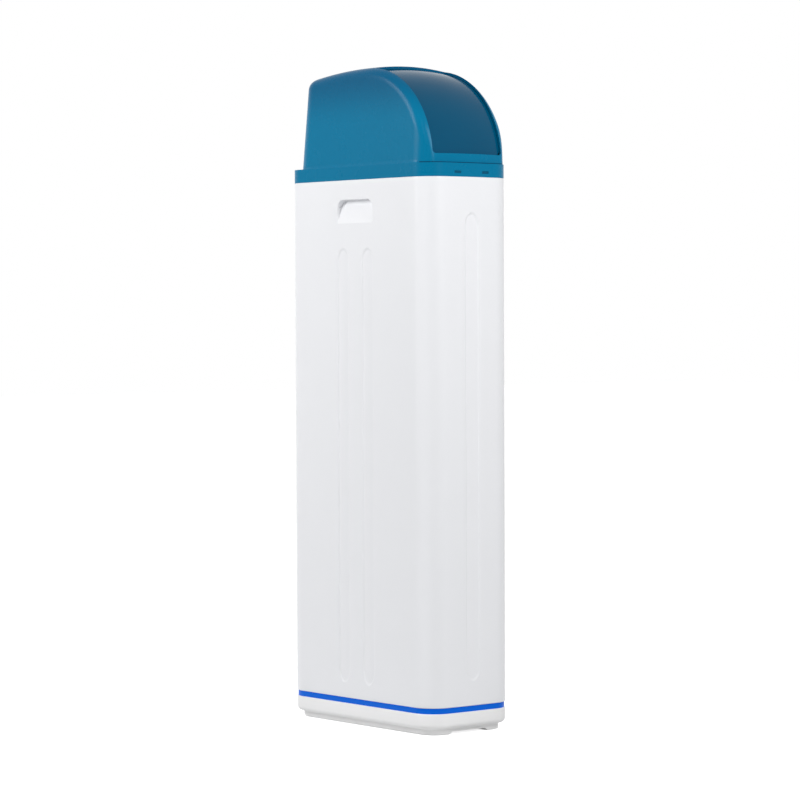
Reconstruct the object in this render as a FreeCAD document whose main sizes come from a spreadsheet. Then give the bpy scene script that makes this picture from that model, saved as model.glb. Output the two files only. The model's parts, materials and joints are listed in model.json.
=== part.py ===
import FreeCAD, Part
import math
import operator
import os

import Sketcher

# Cabinet water softener, in millimetres. Origin on the floor under the middle of the cabinet,
# +Z up, the narrow front towards -Y and the broad sides towards -X and +X.

VECTOR = FreeCAD.Vector

SIZES = [
    ("cabinet_width", 200, "across the narrow front"),
    ("cabinet_depth", 420, "front to back"),
    ("cabinet_corner", 45, "plan radius of the upright edges"),
    ("cabinet_wall", 4, "wall of the tub"),
    ("tub_height", 943.5, "tub from the accent stripe to its rim"),
    ("base_height", 39.5, "base from the floor to the accent stripe"),
    ("base_inset", 0.4, "base wall inside the tub wall"),
    ("base_round", 9, "rounded lower edge of the base wall"),
    ("base_wall", 3, "wall of the base tray"),
    ("base_rib", 4, "thickness of the ribs under the tub"),
    ("plinth_inset", 13, "plinth inside the tub wall"),
    ("plinth_height", 12, "plinth under the base wall"),
    ("runner_height", 5, "runners under the plinth"),
    ("runner_gap", 78, "clear width between the runners"),
    ("runner_ramp", 6, "slope beside each runner"),
    ("stripe_height", 10, "accent stripe"),
    ("stripe_inset", 2.5, "accent stripe inside the tub wall"),
    ("stripe_wall", 3.5, "thickness of the accent stripe"),
    ("fit_gap", 0.2, "clearance between parts that push together"),
    ("run_gap", 0.05, "clearance of a turning fit"),
    ("free_gap", 0.4, "clearance between parts that pass each other"),
    ("rebate_width", 2, "rebate inside the tub rim"),
    ("rebate_depth", 7, "rebate inside the tub rim"),
    ("flute_width", 30, "pressed flutes in the tub walls"),
    ("flute_crown", 23, "length of a flute's pointed end"),
    ("flute_depth", 1.8, "pressed flutes in the tub walls"),
    ("side_flute_foot", 29.5, "lower end of the side flutes above the stripe"),
    ("side_flute_drop", 125, "upper end of the side flutes below the rim"),
    ("side_flute_middle", 0.5, "middle of the pair of side flutes"),
    ("side_flute_pitch", 71, "between the side flutes"),
    ("front_flute_foot", 46.5, "lower end of the front flute above the stripe"),
    ("front_flute_drop", 65, "upper end of the front flute below the rim"),
    ("grip_height", 42, "hand recess"),
    ("grip_drop", 36, "upper edge of the hand recess below the rim"),
    ("grip_width", 101, "hand recess along the side"),
    ("grip_depth", 12, "hand recess at its upper edge"),
    ("grip_corner", 16, "upper corners of the hand recess"),
    ("recess_depth", 30, "overflow recess in the back wall"),
    ("recess_width", 40, "overflow recess in the back wall"),
    ("recess_height", 52, "overflow recess in the back wall"),
    ("overflow_margin", 36, "overflow fitting from the left side"),
    ("overflow_drop", 43, "overflow fitting below the rim"),
    ("overflow_bore", 5, "radius of the overflow bore"),
    ("overflow_thread", 8.8, "radius of the overflow thread"),
    ("hose_barb", 8, "largest radius of a hose barb"),
    ("rear_margin", 3, "free ends in front of the back face"),
    ("deck_thickness", 4, "top deck"),
    ("opening_ahead", 97, "valve opening ahead of the vessel axis"),
    ("opening_behind", 89, "valve opening behind the vessel axis"),
    ("opening_side", 22, "valve opening from each side"),
    ("salt_side", 32, "salt opening from the left side"),
    ("salt_opening_width", 66, "salt opening"),
    ("salt_ahead", 20, "salt opening behind the front"),
    ("salt_hinge_gap", 13, "salt opening ahead of the lid's hinge line"),
    ("salt_opening_corner", 16, "salt opening"),
    ("lid_overlap", 5, "salt lid over the edge of its opening"),
    ("lid_thickness", 3, "salt lid"),
    ("lid_hinge_ahead", 27, "hinge line ahead of the valve opening"),
    ("lid_knuckle", 4.6, "knuckle radius of the salt lid"),
    ("lid_pin", 2, "radius of the hinge pin"),
    ("vessel_gap", 5, "vessel to the tub wall at each side"),
    ("vessel_wall", 3.5, "pressure vessel"),
    ("vessel_rear_gap", 10, "vessel to the back wall of the tub"),
    ("vessel_lift", 6.5, "vessel above the tub floor"),
    ("neck_drop", 40, "vessel neck below the rim"),
    ("neck_radius", 44, "vessel neck"),
    ("neck_bore", 30.3, "vessel neck"),
    ("neck_height", 12, "vessel neck"),
    ("neck_waist", 35, "under the vessel neck"),
    ("foot_height", 60, "foot ring of the vessel"),
    ("foot_bore", 60, "inner radius of the foot ring"),
    ("riser_radius", 13.3, "riser tube"),
    ("riser_wall", 2, "riser tube"),
    ("basket_radius", 24, "bottom distributor"),
    ("basket_height", 42, "bottom distributor"),
    ("gasket_thickness", 1.5, "neck gasket and port seals"),
    ("flange_radius", 52, "valve flange"),
    ("flange_height", 18.5, "valve flange"),
    ("spigot_length", 28, "valve thread in the vessel neck"),
    ("valve_width", 96, "valve block"),
    ("valve_reach", 45, "valve block ahead of and behind the vessel axis"),
    ("valve_height", 67, "valve block"),
    ("port_spacing", 64, "between the inlet and the outlet"),
    ("port_rise", 53, "inlet and outlet above the foot of the valve block"),
    ("port_radius", 12.7, "outside of the valve's inlet and outlet ports"),
    ("stub_radius", 13.2, "outside of the inlet and outlet pipe ends"),
    ("stub_collar", 17, "radius of the collar behind a pipe end"),
    ("port_bore", 10, "bore of an inlet or outlet pipe"),
    ("port_length", 10, "valve ports behind the block"),
    ("disc_radius", 29.5, "ceramic discs"),
    ("disc_thickness", 6, "ceramic discs"),
    ("disc_hole", 6, "radius of the ports in a disc"),
    ("disc_hole_circle", 18, "circle of the ports in a disc"),
    ("chamber_depth", 24, "disc chamber in the valve block"),
    ("shaft_radius", 7, "drive shaft"),
    ("cover_radius", 37, "cover plate of the disc chamber"),
    ("cover_thickness", 6, "cover plate of the disc chamber"),
    ("gear_teeth", 42, "drive gear"),
    ("pinion_teeth", 14, "motor pinion"),
    ("gear_module", 1.5, "drive gear and pinion"),
    ("gear_backlash", 0.35, "drive gear and pinion"),
    ("gear_face", 8, "width of the teeth"),
    ("gear_lift", 6, "gear above the cover plate"),
    ("bracket_thickness", 3, "motor bracket"),
    ("bracket_clearance", 3, "motor bracket above the gear"),
    ("bracket_margin", 16, "motor bracket round the motor shaft"),
    ("bracket_leg", 3, "radius of the bracket's legs"),
    ("motor_angle", 30, "motor behind the side of the gear in degrees"),
    ("motor_radius", 18, "drive motor"),
    ("motor_height", 20, "drive motor"),
    ("motor_shaft", 2.5, "motor shaft"),
    ("head_width", 124, "valve head"),
    ("head_overhang", 10, "valve head ahead of the valve block"),
    ("head_setback", 2, "valve head inside the rear of the valve block"),
    ("head_height", 64, "valve head cover"),
    ("head_lip", 22, "upright front of the valve head"),
    ("head_slope", 40, "display slope in degrees"),
    ("head_wall", 2.5, "valve head cover"),
    ("head_base", 4, "base plate of the valve head"),
    ("bezel_width", 84, "display frame"),
    ("bezel_height", 46, "display frame"),
    ("bezel_thickness", 2.5, "display frame"),
    ("lens_width", 54, "display window"),
    ("lens_height", 18, "display window"),
    ("button_radius", 4.6, "buttons"),
    ("button_pitch", 16, "between the buttons"),
    ("button_travel", 1.2, "how far a button goes in"),
    ("button_proud", 2, "buttons above the display frame"),
    ("board_depth", 10.5, "circuit board under the slope"),
    ("board_thickness", 1.6, "circuit board"),
    ("bypass_reach", 28, "rotor axes behind the valve block"),
    ("bypass_chamber", 16, "rotor chambers of the bypass"),
    ("bypass_rotor", 12.5, "rotors of the bypass"),
    ("bypass_socket", 17, "sockets of the bypass"),
    ("bypass_cross", 11, "cross pipe of the bypass"),
    ("bypass_rise", 20, "rotor chamber over and under the port axis"),
    ("lever_length", 34, "bypass levers"),
    ("lever_width", 11, "bypass levers"),
    ("lever_height", 8, "bypass levers"),
    ("nut_radius", 21, "union nuts"),
    ("nut_length", 11, "union nuts"),
    ("stub_margin", 2, "ends of the inlet, outlet and drain inside the back"),
    ("drain_rise", 30, "drain fitting above the foot of the valve block"),
    ("well_margin", 56, "brine well axis from the right side"),
    ("well_ahead", 60, "brine well axis behind the front"),
    ("well_radius", 33, "brine well"),
    ("well_wall", 2.5, "brine well"),
    ("well_lip", 10, "brine well above the deck"),
    ("well_neck", 250, "upper length of the brine well"),
    ("well_lap", 12, "how far the lower length of the brine well goes into the upper one"),
    ("cap_thickness", 3, "cap of the brine well"),
    ("cap_skirt", 8, "cap of the brine well"),
    ("pickup_offset", -16, "brine pick-up from the well axis"),
    ("pickup_radius", 5, "brine pick-up"),
    ("float_offset", 9, "float from the well axis"),
    ("float_radius", 14, "float"),
    ("float_height", 70, "float"),
    ("float_rest", 246.5, "float at rest above the tub floor"),
    ("float_travel", 150, "float between its stops"),
    ("float_rod", 2.5, "float rod"),
    ("shutoff_drop", 68, "foot of the safety shut-off below the rim"),
    ("shutoff_height", 30, "safety shut-off"),
    ("hose_radius", 4.8, "brine hose"),
    ("hose_bore", 3.2, "brine hose"),
    ("brine_rise", 20, "brine elbow above the foot of the shut-off"),
    ("brine_port_side", 30, "brine port of the valve"),
    ("brine_port_rise", 27, "brine port above the foot of the valve block"),
    ("platform_height", 96.5, "salt platform above the tub floor"),
    ("platform_thickness", 4, "salt platform"),
    ("platform_leg", 9, "radius of the platform's legs"),
    ("platform_gap", 6, "salt platform ahead of the vessel"),
    ("slot_length", 34, "slots of the salt platform"),
    ("slot_width", 12, "slots of the salt platform"),
    ("slot_pitch", 34, "between the rows of slots"),
    ("slot_column", 44, "between the columns of slots"),
    ("slot_margin", 18, "first slot from the edges of the platform"),
    ("leg_margin", 18, "legs of the salt platform from its edges"),
    ("leg_front", 27, "front legs of the salt platform from its edge"),
    ("hood_wall", 2.6, "hood"),
    ("hood_root", 6, "depth of the hood walls in the skirt band"),
    ("band_height", 24.5, "skirt band of the hood"),
    ("band_inset", 0.3, "skirt band inside the tub wall"),
    ("hood_lip", 2.6, "locating lip of the hood"),
    ("hood_front_inset", 4.9, "front curve of the hood inside the tub wall"),
    ("arc_rise", 22.7, "axis of the hood's front curve above the rim"),
    ("hood_radius", 184.5, "front curve of the hood"),
    ("roof_drop", 13.2, "fall of the roof to the back"),
    ("roof_end", 60, "rear end of the roof curve from the back"),
    ("hood_side_low", 2, "side wall inside the tub wall, at the band"),
    ("hood_side_high", 8, "side wall inside the tub wall, at the roof"),
    ("hood_rear_low", 24, "rear wall inside the tub wall, at the band"),
    ("hood_rear_high", 42, "rear wall inside the tub wall, at the roof"),
    ("hood_corner", 43, "upright edges of the hood"),
    ("hood_edge", 20, "upper edge of the hood"),
    ("hood_plane", 14.8, "plane that the leaning walls are measured at, above the crown"),
    ("hood_crown", 550, "crown of the hood and visor from side to side"),
    ("notch_gap", 9, "pipe notch beside the union nuts"),
    ("notch_depth", 90, "pipe notch from the back"),
    ("notch_rise", 72, "pipe notch above the rim"),
    ("window_margin", 20.3, "window from each side"),
    ("window_start", 5.8, "lower edge of the window in degrees"),
    ("window_sweep", 79, "window in degrees"),
    ("window_corner", 6, "corners of the window"),
    ("frame_rim", 0.8, "frame round the window, above and below, in degrees"),
    ("visor_depth", 5.3, "visor below the front curve of the hood"),
    ("visor_wall", 2.5, "visor"),
    ("visor_corner", 9, "lower corners of the visor"),
    ("visor_play", 0.3, "visor inside its window in degrees"),
    ("visor_arm", 22, "width of a visor arm"),
    ("visor_hub", 9, "eye at the foot of a visor arm"),
    ("visor_pin", 4, "pivot pins of the visor"),
    ("visor_pin_head", 2.5, "rim of a pivot pin's head"),
    ("visor_pin_flat", 2, "thickness of a pivot pin's head"),
    ("boss_radius", 8, "bosses of the pivot pins"),
    ("boss_length", 10, "bosses of the pivot pins"),
    ("pin_depth", 7, "pivot pins in their bosses"),
    ("arm_thickness", 2.5, "visor arms"),
    ("pin_gap", 0.3, "pivot pin head to the visor arm"),
    ("latch_side", 32, "latch marks from the middle"),
    ("latch_rise", 8.5, "latch marks above the rim"),
    ("latch_width", 15, "latch marks"),
    ("latch_height", 4.5, "latch marks"),
    ("latch_depth", 1.4, "latch marks"),
]

OPERATORS = {"+": operator.add, "-": operator.sub, "*": operator.mul, "/": operator.truediv}


class Dim:
    """A size together with the sheet expression that gives it."""

    def __init__(self, value, text):
        self.value = float(value)
        self.text = text

    def __add__(self, other):
        return combine(self, "+", other)

    def __radd__(self, other):
        return combine(other, "+", self)

    def __sub__(self, other):
        return combine(self, "-", other)

    def __rsub__(self, other):
        return combine(other, "-", self)

    def __mul__(self, other):
        return combine(self, "*", other)

    def __rmul__(self, other):
        return combine(other, "*", self)

    def __truediv__(self, other):
        return combine(self, "/", other)

    def __neg__(self):
        return combine(-1, "*", self)


def as_dim(number):
    return number if isinstance(number, Dim) else Dim(number, repr(float(number)))


def combine(left, sign, right):
    left, right = as_dim(left), as_dim(right)
    value = OPERATORS[sign](left.value, right.value)
    return Dim(value, "(%s %s %s)" % (left.text, sign, right.text))


def root(number):
    return Dim(math.sqrt(number.value), "sqrt(%s)" % number.text)


def cosine(degrees):
    return Dim(math.cos(math.radians(degrees.value)), "cos(%s)" % degrees.text)


def sine(degrees):
    return Dim(math.sin(math.radians(degrees.value)), "sin(%s)" % degrees.text)


class Sheet:
    """The driving dimensions, read by name."""

    def __init__(self, document):
        cells = document.addObject("Spreadsheet::Sheet", "Sizes")
        for row, (name, value, note) in enumerate(SIZES, 1):
            cells.set("A%d" % row, name)
            cells.set("B%d" % row, str(value))
            cells.set("C%d" % row, note)
            cells.setAlias("B%d" % row, name)
            setattr(self, name, Dim(value, "Sizes." + name))
        document.recompute()


doc = FreeCAD.newDocument("CabinetSoftener")
size = Sheet(doc)
pieces = []

# Levels and places that several pieces share
tub_bottom = size.base_height + size.stripe_height
tub_floor = tub_bottom + size.cabinet_wall
tub_top = tub_bottom + size.tub_height
half_width = size.cabinet_width / 2
half_depth = size.cabinet_depth / 2
side_flute_low = tub_bottom + size.side_flute_foot
side_flute_high = tub_top - size.side_flute_drop
front_flute_low = tub_bottom + size.front_flute_foot
front_flute_high = tub_top - size.front_flute_drop
grip_high = tub_top - size.grip_drop
grip_low = grip_high - size.grip_height
overflow_side = size.overflow_margin - half_width
overflow_level = tub_top - size.overflow_drop
vessel_radius = half_width - size.cabinet_wall - size.vessel_gap
vessel_back = half_depth - size.cabinet_wall - size.vessel_rear_gap - vessel_radius
deck_opening_front = vessel_back - size.opening_ahead
deck_opening_rear = vessel_back + size.opening_behind
lid_hinge_back = deck_opening_front - size.lid_hinge_ahead
salt_opening_left = size.salt_side - half_width
salt_opening_right = salt_opening_left + size.salt_opening_width
salt_opening_front = size.salt_ahead - half_depth
salt_opening_rear = lid_hinge_back - size.salt_hinge_gap
deck_bottom = tub_top - size.rebate_depth
deck_top = deck_bottom + size.deck_thickness
neck_top = tub_top - size.neck_drop
flange_bottom = neck_top + size.gasket_thickness
block_bottom = flange_bottom + size.flange_height
block_top = block_bottom + size.valve_height
cover_top = block_top + size.cover_thickness
gear_bottom = cover_top + size.gear_lift
gear_top = gear_bottom + size.gear_face
bracket_bottom = gear_top + size.bracket_clearance
head_bottom = block_top + size.head_base
band_top = tub_top + size.band_height
valve_front = vessel_back - size.valve_reach
valve_rear = vessel_back + size.valve_reach
port_level = block_bottom + size.port_rise
drain_level = block_bottom + size.drain_rise
brine_port_level = block_bottom + size.brine_port_rise
head_front = valve_front - size.head_overhang
head_rear = valve_rear - size.head_setback
bypass_back = valve_rear + size.bypass_reach
stub_rear = half_depth - size.stub_margin
well_side = half_width - size.well_margin
well_front = size.well_ahead - half_depth
well_top = deck_top + size.well_lip
float_level = tub_floor + size.float_rest
shutoff_level = tub_top - size.shutoff_drop
brine_level = shutoff_level + size.brine_rise
platform_level = tub_floor + size.platform_height
platform_rear = vessel_back - vessel_radius - size.platform_gap
arc_back = size.hood_radius + size.hood_front_inset - half_depth
arc_level = tub_top + size.arc_rise
roof_rear = half_depth - size.roof_end
hood_top = arc_level + size.hood_radius + size.hood_plane
notch_top = tub_top + size.notch_rise
notch_half = size.port_spacing / 2 + size.nut_radius + size.notch_gap
window_width = size.cabinet_width - size.window_margin * 2
visor_radius = size.hood_radius - size.visor_depth
latch_level = tub_top + size.latch_rise


# Helpers that bind document objects to the sheet

def bind(item, path, number):
    item.setExpression(path, as_dim(number).text)


def turned_to(axis):
    """Rotation that takes the local Z axis to a named direction."""
    directions = {
        "x": VECTOR(1, 0, 0),
        "-x": VECTOR(-1, 0, 0),
        "y": VECTOR(0, 1, 0),
        "-y": VECTOR(0, -1, 0),
        "z": VECTOR(0, 0, 1),
    }
    return FreeCAD.Rotation(VECTOR(0, 0, 1), directions[axis])


def place(item, x=0, y=0, z=0, axis="z"):
    item.Placement = FreeCAD.Placement(VECTOR(0, 0, 0), turned_to(axis))
    for letter, number in zip("xyz", (x, y, z)):
        bind(item, "Placement.Base." + letter, number)
    return item


def body(name):
    return doc.addObject("PartDesign::Body", name)


def arc_between(start, end, radius):
    """Arc under a half circle: counter-clockwise for a positive radius, clockwise for a negative."""
    x0, y0 = start
    x1, y1 = end
    reach = math.hypot(x1 - x0, y1 - y0)
    rise = math.sqrt(max(radius * radius - reach * reach / 4, 0)) * math.copysign(1, radius)
    middle_x = (x0 + x1) / 2 - (y1 - y0) / reach * rise
    middle_y = (y0 + y1) / 2 + (x1 - x0) / reach * rise
    first, last = (start, end) if radius > 0 else (end, start)
    angles = [math.atan2(v - middle_y, u - middle_x) for u, v in (first, last)]
    circle = Part.Circle(VECTOR(middle_x, middle_y, 0), VECTOR(0, 0, 1), abs(radius))
    return Part.ArcOfCircle(circle, angles[0], angles[1])


def outline(owner, name, plane, points, level=0):
    """Closed sketch through points. A third number at a point is the radius of the arc to it."""
    sketch = owner.newObject("Sketcher::SketchObject", name)
    support = next(item for item in owner.Origin.OriginFeatures if item.Role == plane)
    sketch.AttachmentSupport = [(support, "")]
    sketch.MapMode = "FlatFace"
    bind(sketch, "AttachmentOffset.Base.z", level)
    points = [[as_dim(number) for number in point] for point in points]
    ends = []
    for index, point in enumerate(points):
        before = points[index - 1]
        start = (before[0].value, before[1].value)
        end = (point[0].value, point[1].value)
        if len(point) == 3:
            sketch.addGeometry(arc_between(start, end, point[2].value))
            ends.append((1, 2) if point[2].value > 0 else (2, 1))
        else:
            sketch.addGeometry(Part.LineSegment(VECTOR(*start, 0), VECTOR(*end, 0)))
            ends.append((1, 2))
    for index, point in enumerate(points):
        after = (index + 1) % len(points)
        sketch.addConstraint(Sketcher.Constraint("Coincident", index, ends[index][1],
                                                 after, ends[after][0]))
        for kind, number in zip(("DistanceX", "DistanceY"), point):
            place_of = Sketcher.Constraint(kind, -1, 1, index, ends[index][1], number.value)
            bind(sketch, "Constraints[%d]" % sketch.addConstraint(place_of), number)
        if len(point) == 3:
            radius = point[2] if point[2].value > 0 else -point[2]
            bend = Sketcher.Constraint("Radius", index, radius.value)
            bind(sketch, "Constraints[%d]" % sketch.addConstraint(bend), radius)
    return sketch


def rectangle(left, right, low, high):
    return [(left, low), (right, low), (right, high), (left, high)]


def rounded(left, right, low, high, corner):
    """Rectangle with four equal corner arcs, counter-clockwise."""
    return [
        (left + corner, low), (right - corner, low), (right, low + corner, corner),
        (right, high - corner), (right - corner, high, corner), (left + corner, high),
        (left, high - corner, corner), (left, low + corner), (left + corner, low, corner),
    ][1:]


def cabinet_outline(inset):
    corner = size.cabinet_corner - inset
    return rounded(inset - half_width, half_width - inset, inset - half_depth,
                   half_depth - inset, corner)


def pad(owner, sketch, length):
    feature = owner.newObject("PartDesign::Pad", sketch.Name + "Pad")
    feature.Profile = sketch
    bind(feature, "Length", length)
    return feature


def pocket(owner, sketch, length, upwards=False):
    feature = owner.newObject("PartDesign::Pocket", sketch.Name + "Pocket")
    feature.Profile = sketch
    feature.Reversed = upwards
    bind(feature, "Length", length)
    return feature


def turn(owner, sketch):
    feature = owner.newObject("PartDesign::Revolution", sketch.Name + "Turn")
    feature.Profile = sketch
    feature.ReferenceAxis = (sketch, ["V_Axis"])
    feature.Angle = 360
    return feature


def turned(name, points, x=0, y=0, z=0, axis="z"):
    """Body turned about its own Z axis from points given as radius and height."""
    owner = body(name)
    turn(owner, outline(owner, name + "Profile", "XZ_Plane", points))
    return place(owner, x, y, z, axis)


def rod(name, radius, length, x=0, y=0, z=0, axis="z"):
    item = doc.addObject("Part::Cylinder", name)
    bind(item, "Radius", radius)
    bind(item, "Height", length)
    return place(item, x, y, z, axis)


def block(name, x, y, z):
    """Box between pairs of limits along each axis."""
    item = doc.addObject("Part::Box", name)
    for path, limits in zip(("Length", "Width", "Height"), (x, y, z)):
        bind(item, path, limits[1] - limits[0])
    return place(item, x[0], y[0], z[0])


def prism(name, plane, points, level, length):
    owner = body(name)
    pad(owner, outline(owner, name + "Outline", plane, points, level), length)
    return owner


def fuse(name, *shapes):
    item = doc.addObject("Part::MultiFuse", name)
    item.Shapes = list(shapes)
    item.Refine = True
    return item


def cut(name, base, *tools):
    item = doc.addObject("Part::Cut", name)
    item.Base = base
    item.Tool = tools[0] if len(tools) == 1 else fuse(name + "Tools", *tools)
    item.Refine = True
    return item


def common(name, first, second):
    item = doc.addObject("Part::MultiCommon", name)
    item.Shapes = [first, second]
    item.Refine = True
    return item


def group(name, *shapes):
    """Several separate solids under one name."""
    item = doc.addObject("Part::Compound", name)
    item.Links = list(shapes)
    return item


def mirrored(name, source):
    item = doc.addObject("Part::Mirroring", name)
    item.Source = source
    item.Normal = VECTOR(1, 0, 0)
    return item


def soften(name, base, radius, picked):
    """Round the edges that a test picks out."""
    doc.recompute()
    item = doc.addObject("Part::Fillet", name)
    item.Base = base
    edges = [index for index, edge in enumerate(base.Shape.Edges, 1) if picked(edge)]
    item.Edges = [(index, radius.value, radius.value) for index in edges]
    return item


def shaped(name, shape):
    item = doc.addObject("Part::Feature", name)
    item.Shape = shape
    return item


def keep(item):
    pieces.append(item)
    return item


# Cabinet base: a moulded tray on two runners

def make_base():
    owner = body("cabinet_base")
    wall_bottom = size.plinth_height
    wall = outline(owner, "BaseWall", "XY_Plane", cabinet_outline(size.base_inset), wall_bottom)
    walls = pad(owner, wall, size.base_height - size.plinth_height)
    doc.recompute()
    rounding = owner.newObject("PartDesign::Fillet", "BaseRounding")
    low = [index for index, edge in enumerate(walls.Shape.Edges, 1)
           if edge.BoundBox.ZMax < wall_bottom.value + 0.01]
    rounding.Base = (walls, ["Edge%d" % index for index in low])
    bind(rounding, "Radius", size.base_round)
    pad(owner, outline(owner, "Plinth", "XY_Plane", cabinet_outline(size.plinth_inset)),
        size.plinth_height + 1)
    spigot_inset = size.stripe_inset + size.stripe_wall + size.fit_gap
    pad(owner, outline(owner, "Spigot", "XY_Plane", cabinet_outline(spigot_inset),
                       size.base_height), size.stripe_height)
    inner = size.plinth_inset + size.base_wall
    tray_floor = size.runner_height + size.base_wall
    pocket(owner, outline(owner, "Tray", "XY_Plane", cabinet_outline(inner), tub_bottom),
           tub_bottom - tray_floor)
    for number, row in enumerate((-0.4, 0, 0.4), 1):
        middle = size.cabinet_depth * row
        rib = rectangle(inner - half_width, half_width - inner,
                        middle - size.base_rib / 2, middle + size.base_rib / 2)
        pad(owner, outline(owner, "Rib%d" % number, "XY_Plane", rib, tray_floor - 1),
            tub_bottom - tray_floor + 1)
    foot = size.runner_gap / 2
    slot = [(-foot - size.runner_ramp, -1), (foot + size.runner_ramp, -1),
            (foot, size.runner_height), (-foot, size.runner_height)]
    pocket(owner, outline(owner, "RunnerGap", "XZ_Plane", slot, -half_depth),
           size.cabinet_depth, upwards=True)
    return keep(owner)


def make_stripe():
    owner = body("accent_stripe")
    pad(owner, outline(owner, "StripeOutside", "XY_Plane", cabinet_outline(size.stripe_inset),
                       size.base_height), size.stripe_height)
    pocket(owner, outline(owner, "StripeInside", "XY_Plane",
                          cabinet_outline(size.stripe_inset + size.stripe_wall), tub_bottom),
           size.stripe_height)
    return keep(owner)


# Cabinet body: a tub with pressed flutes, hand recesses and a recess for the overflow

def flute_cutter(name, low, high, x, y, axis):
    """Flat bar with pointed oval ends, which presses a flute into a wall."""
    halves = []
    half = size.flute_width / 2
    for end, level in (("Low", low + size.flute_crown), ("High", high - size.flute_crown)):
        oval = doc.addObject("Part::Ellipse", name + end)
        bind(oval, "MajorRadius", size.flute_crown)
        bind(oval, "MinorRadius", half)
        plug = doc.addObject("Part::Extrusion", name + end + "Plug")
        plug.Base = oval
        plug.DirMode = "Normal"
        plug.Solid = True
        bind(plug, "LengthFwd", size.flute_depth)
        bind(plug, "LengthRev", size.flute_depth)
        upright = FreeCAD.Rotation(VECTOR(0, 1, 0), 90)
        if axis == "y":
            upright = FreeCAD.Rotation(VECTOR(0, 0, 1), 90) * upright
        oval.Placement = FreeCAD.Placement(VECTOR(0, 0, 0), upright)
        for letter, number in zip("xyz", (x, y, level)):
            bind(oval, "Placement.Base." + letter, number)
        halves.append(plug)
    across = (y - half, y + half) if axis == "x" else (x - half, x + half)
    deep = size.flute_depth
    limits = ((x - deep, x + deep), across) if axis == "x" else (across, (y - deep, y + deep))
    middle = block(name + "Middle", *limits, (low + size.flute_crown, high - size.flute_crown))
    return fuse(name, middle, *halves)


def grip_wedge(name, spare):
    """Hand recess on the -X side, deepest under its upper edge; spare adds a wall round it."""
    half = size.grip_width / 2 + spare
    top = grip_high + spare
    bottom = grip_low - spare
    corner = size.grip_corner + spare
    middle = size.side_flute_middle
    face = [(middle - half, bottom), (middle + half, bottom), (middle + half, top - corner),
            (middle + half - corner, top, corner), (middle - half + corner, top),
            (middle - half, top - corner, corner)]
    slab = prism(name + "Slab", "YZ_Plane", face, -half_width - 2, size.grip_depth * 2 + 2)
    depth = size.grip_depth + spare
    slope = [(-half_width - 2, bottom), (spare / 2 - half_width, bottom),
             (depth - half_width, top), (-half_width - 2, top)]
    wedge = prism(name + "Slope", "XZ_Plane", slope, -half_depth, size.cabinet_depth)
    return common(name, slab, wedge)


def make_tub():
    outer = body("TubOutside")
    walls = pad(outer, outline(outer, "TubWall", "XY_Plane", cabinet_outline(0), tub_bottom),
                size.tub_height)
    doc.recompute()
    rounding = outer.newObject("PartDesign::Fillet", "TubRounding")
    low = [index for index, edge in enumerate(walls.Shape.Edges, 1)
           if edge.BoundBox.ZMax < tub_bottom.value + 0.01]
    rounding.Base = (walls, ["Edge%d" % index for index in low])
    bind(rounding, "Radius", size.stripe_inset)

    inner = prism("TubInside", "XY_Plane", cabinet_outline(size.cabinet_wall), tub_floor,
                  size.tub_height)
    rebate = prism("TubRebate", "XY_Plane",
                   cabinet_outline(size.cabinet_wall - size.rebate_width), deck_bottom,
                   size.rebate_depth + 1)
    bulge = grip_wedge("GripBulge", size.cabinet_wall)
    half = size.recess_width / 2
    side, level = overflow_side, overflow_level
    recess_floor = half_depth - size.recess_depth
    recess = block("OverflowRecess", (side - half, side + half), (recess_floor, half_depth + 1),
                   (level - size.recess_height / 2, level + size.recess_height / 2))
    wall = size.cabinet_wall
    boxing = block("OverflowBoxing", (side - half - wall, side + half + wall),
                   (recess_floor - wall, half_depth + 1),
                   (level - size.recess_height / 2 - wall, level + size.recess_height / 2 + wall))
    hollow = cut("TubHollow", inner, bulge, mirrored("GripBulgeRight", bulge), boxing)

    grip = grip_wedge("Grip", as_dim(0))
    hole = rod("OverflowHole", size.overflow_thread + size.fit_gap, wall + 2, side,
               recess_floor - wall - 1, level, "y")
    flutes = [flute_cutter("FrontFlute", front_flute_low, front_flute_high,
                           as_dim(0), -half_depth, "y")]
    for place_name, way in (("Front", -0.5), ("Rear", 0.5)):
        middle = size.side_flute_middle + size.side_flute_pitch * way
        left = flute_cutter("Side" + place_name, side_flute_low, side_flute_high,
                            -half_width, middle, "x")
        flutes += [left, mirrored("Side" + place_name + "Right", left)]
    return keep(cut("cabinet_body", outer, hollow, rebate, recess, hole, grip,
                    mirrored("GripRight", grip), *flutes))


def make_overflow():
    side, level = overflow_side, overflow_level
    face = half_depth - size.recess_depth
    bore, thread, barb = size.overflow_bore, size.overflow_thread, size.hose_barb
    flange = thread + 4
    length = size.recess_depth - size.rear_margin
    keep(turned("overflow_fitting", [
        (bore, -17), (thread, -17), (thread, 0), (flange, 0), (flange, 3), (barb - 1.5, 3),
        (barb - 1.5, 8), (barb, 8), (barb - 1.5, 14), (barb, 14), (barb - 1.5, 20), (barb, 20),
        (barb - 2, length), (bore, length)], side, face, level, "y"))
    keep(turned("overflow_nut", [
        (thread + size.run_gap, -13), (thread + 6, -13), (thread + 6, -size.cabinet_wall),
        (thread + size.run_gap, -size.cabinet_wall)], side, face, level, "y"))


# Top deck with the salt lid, the salt platform and the brine well

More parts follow.
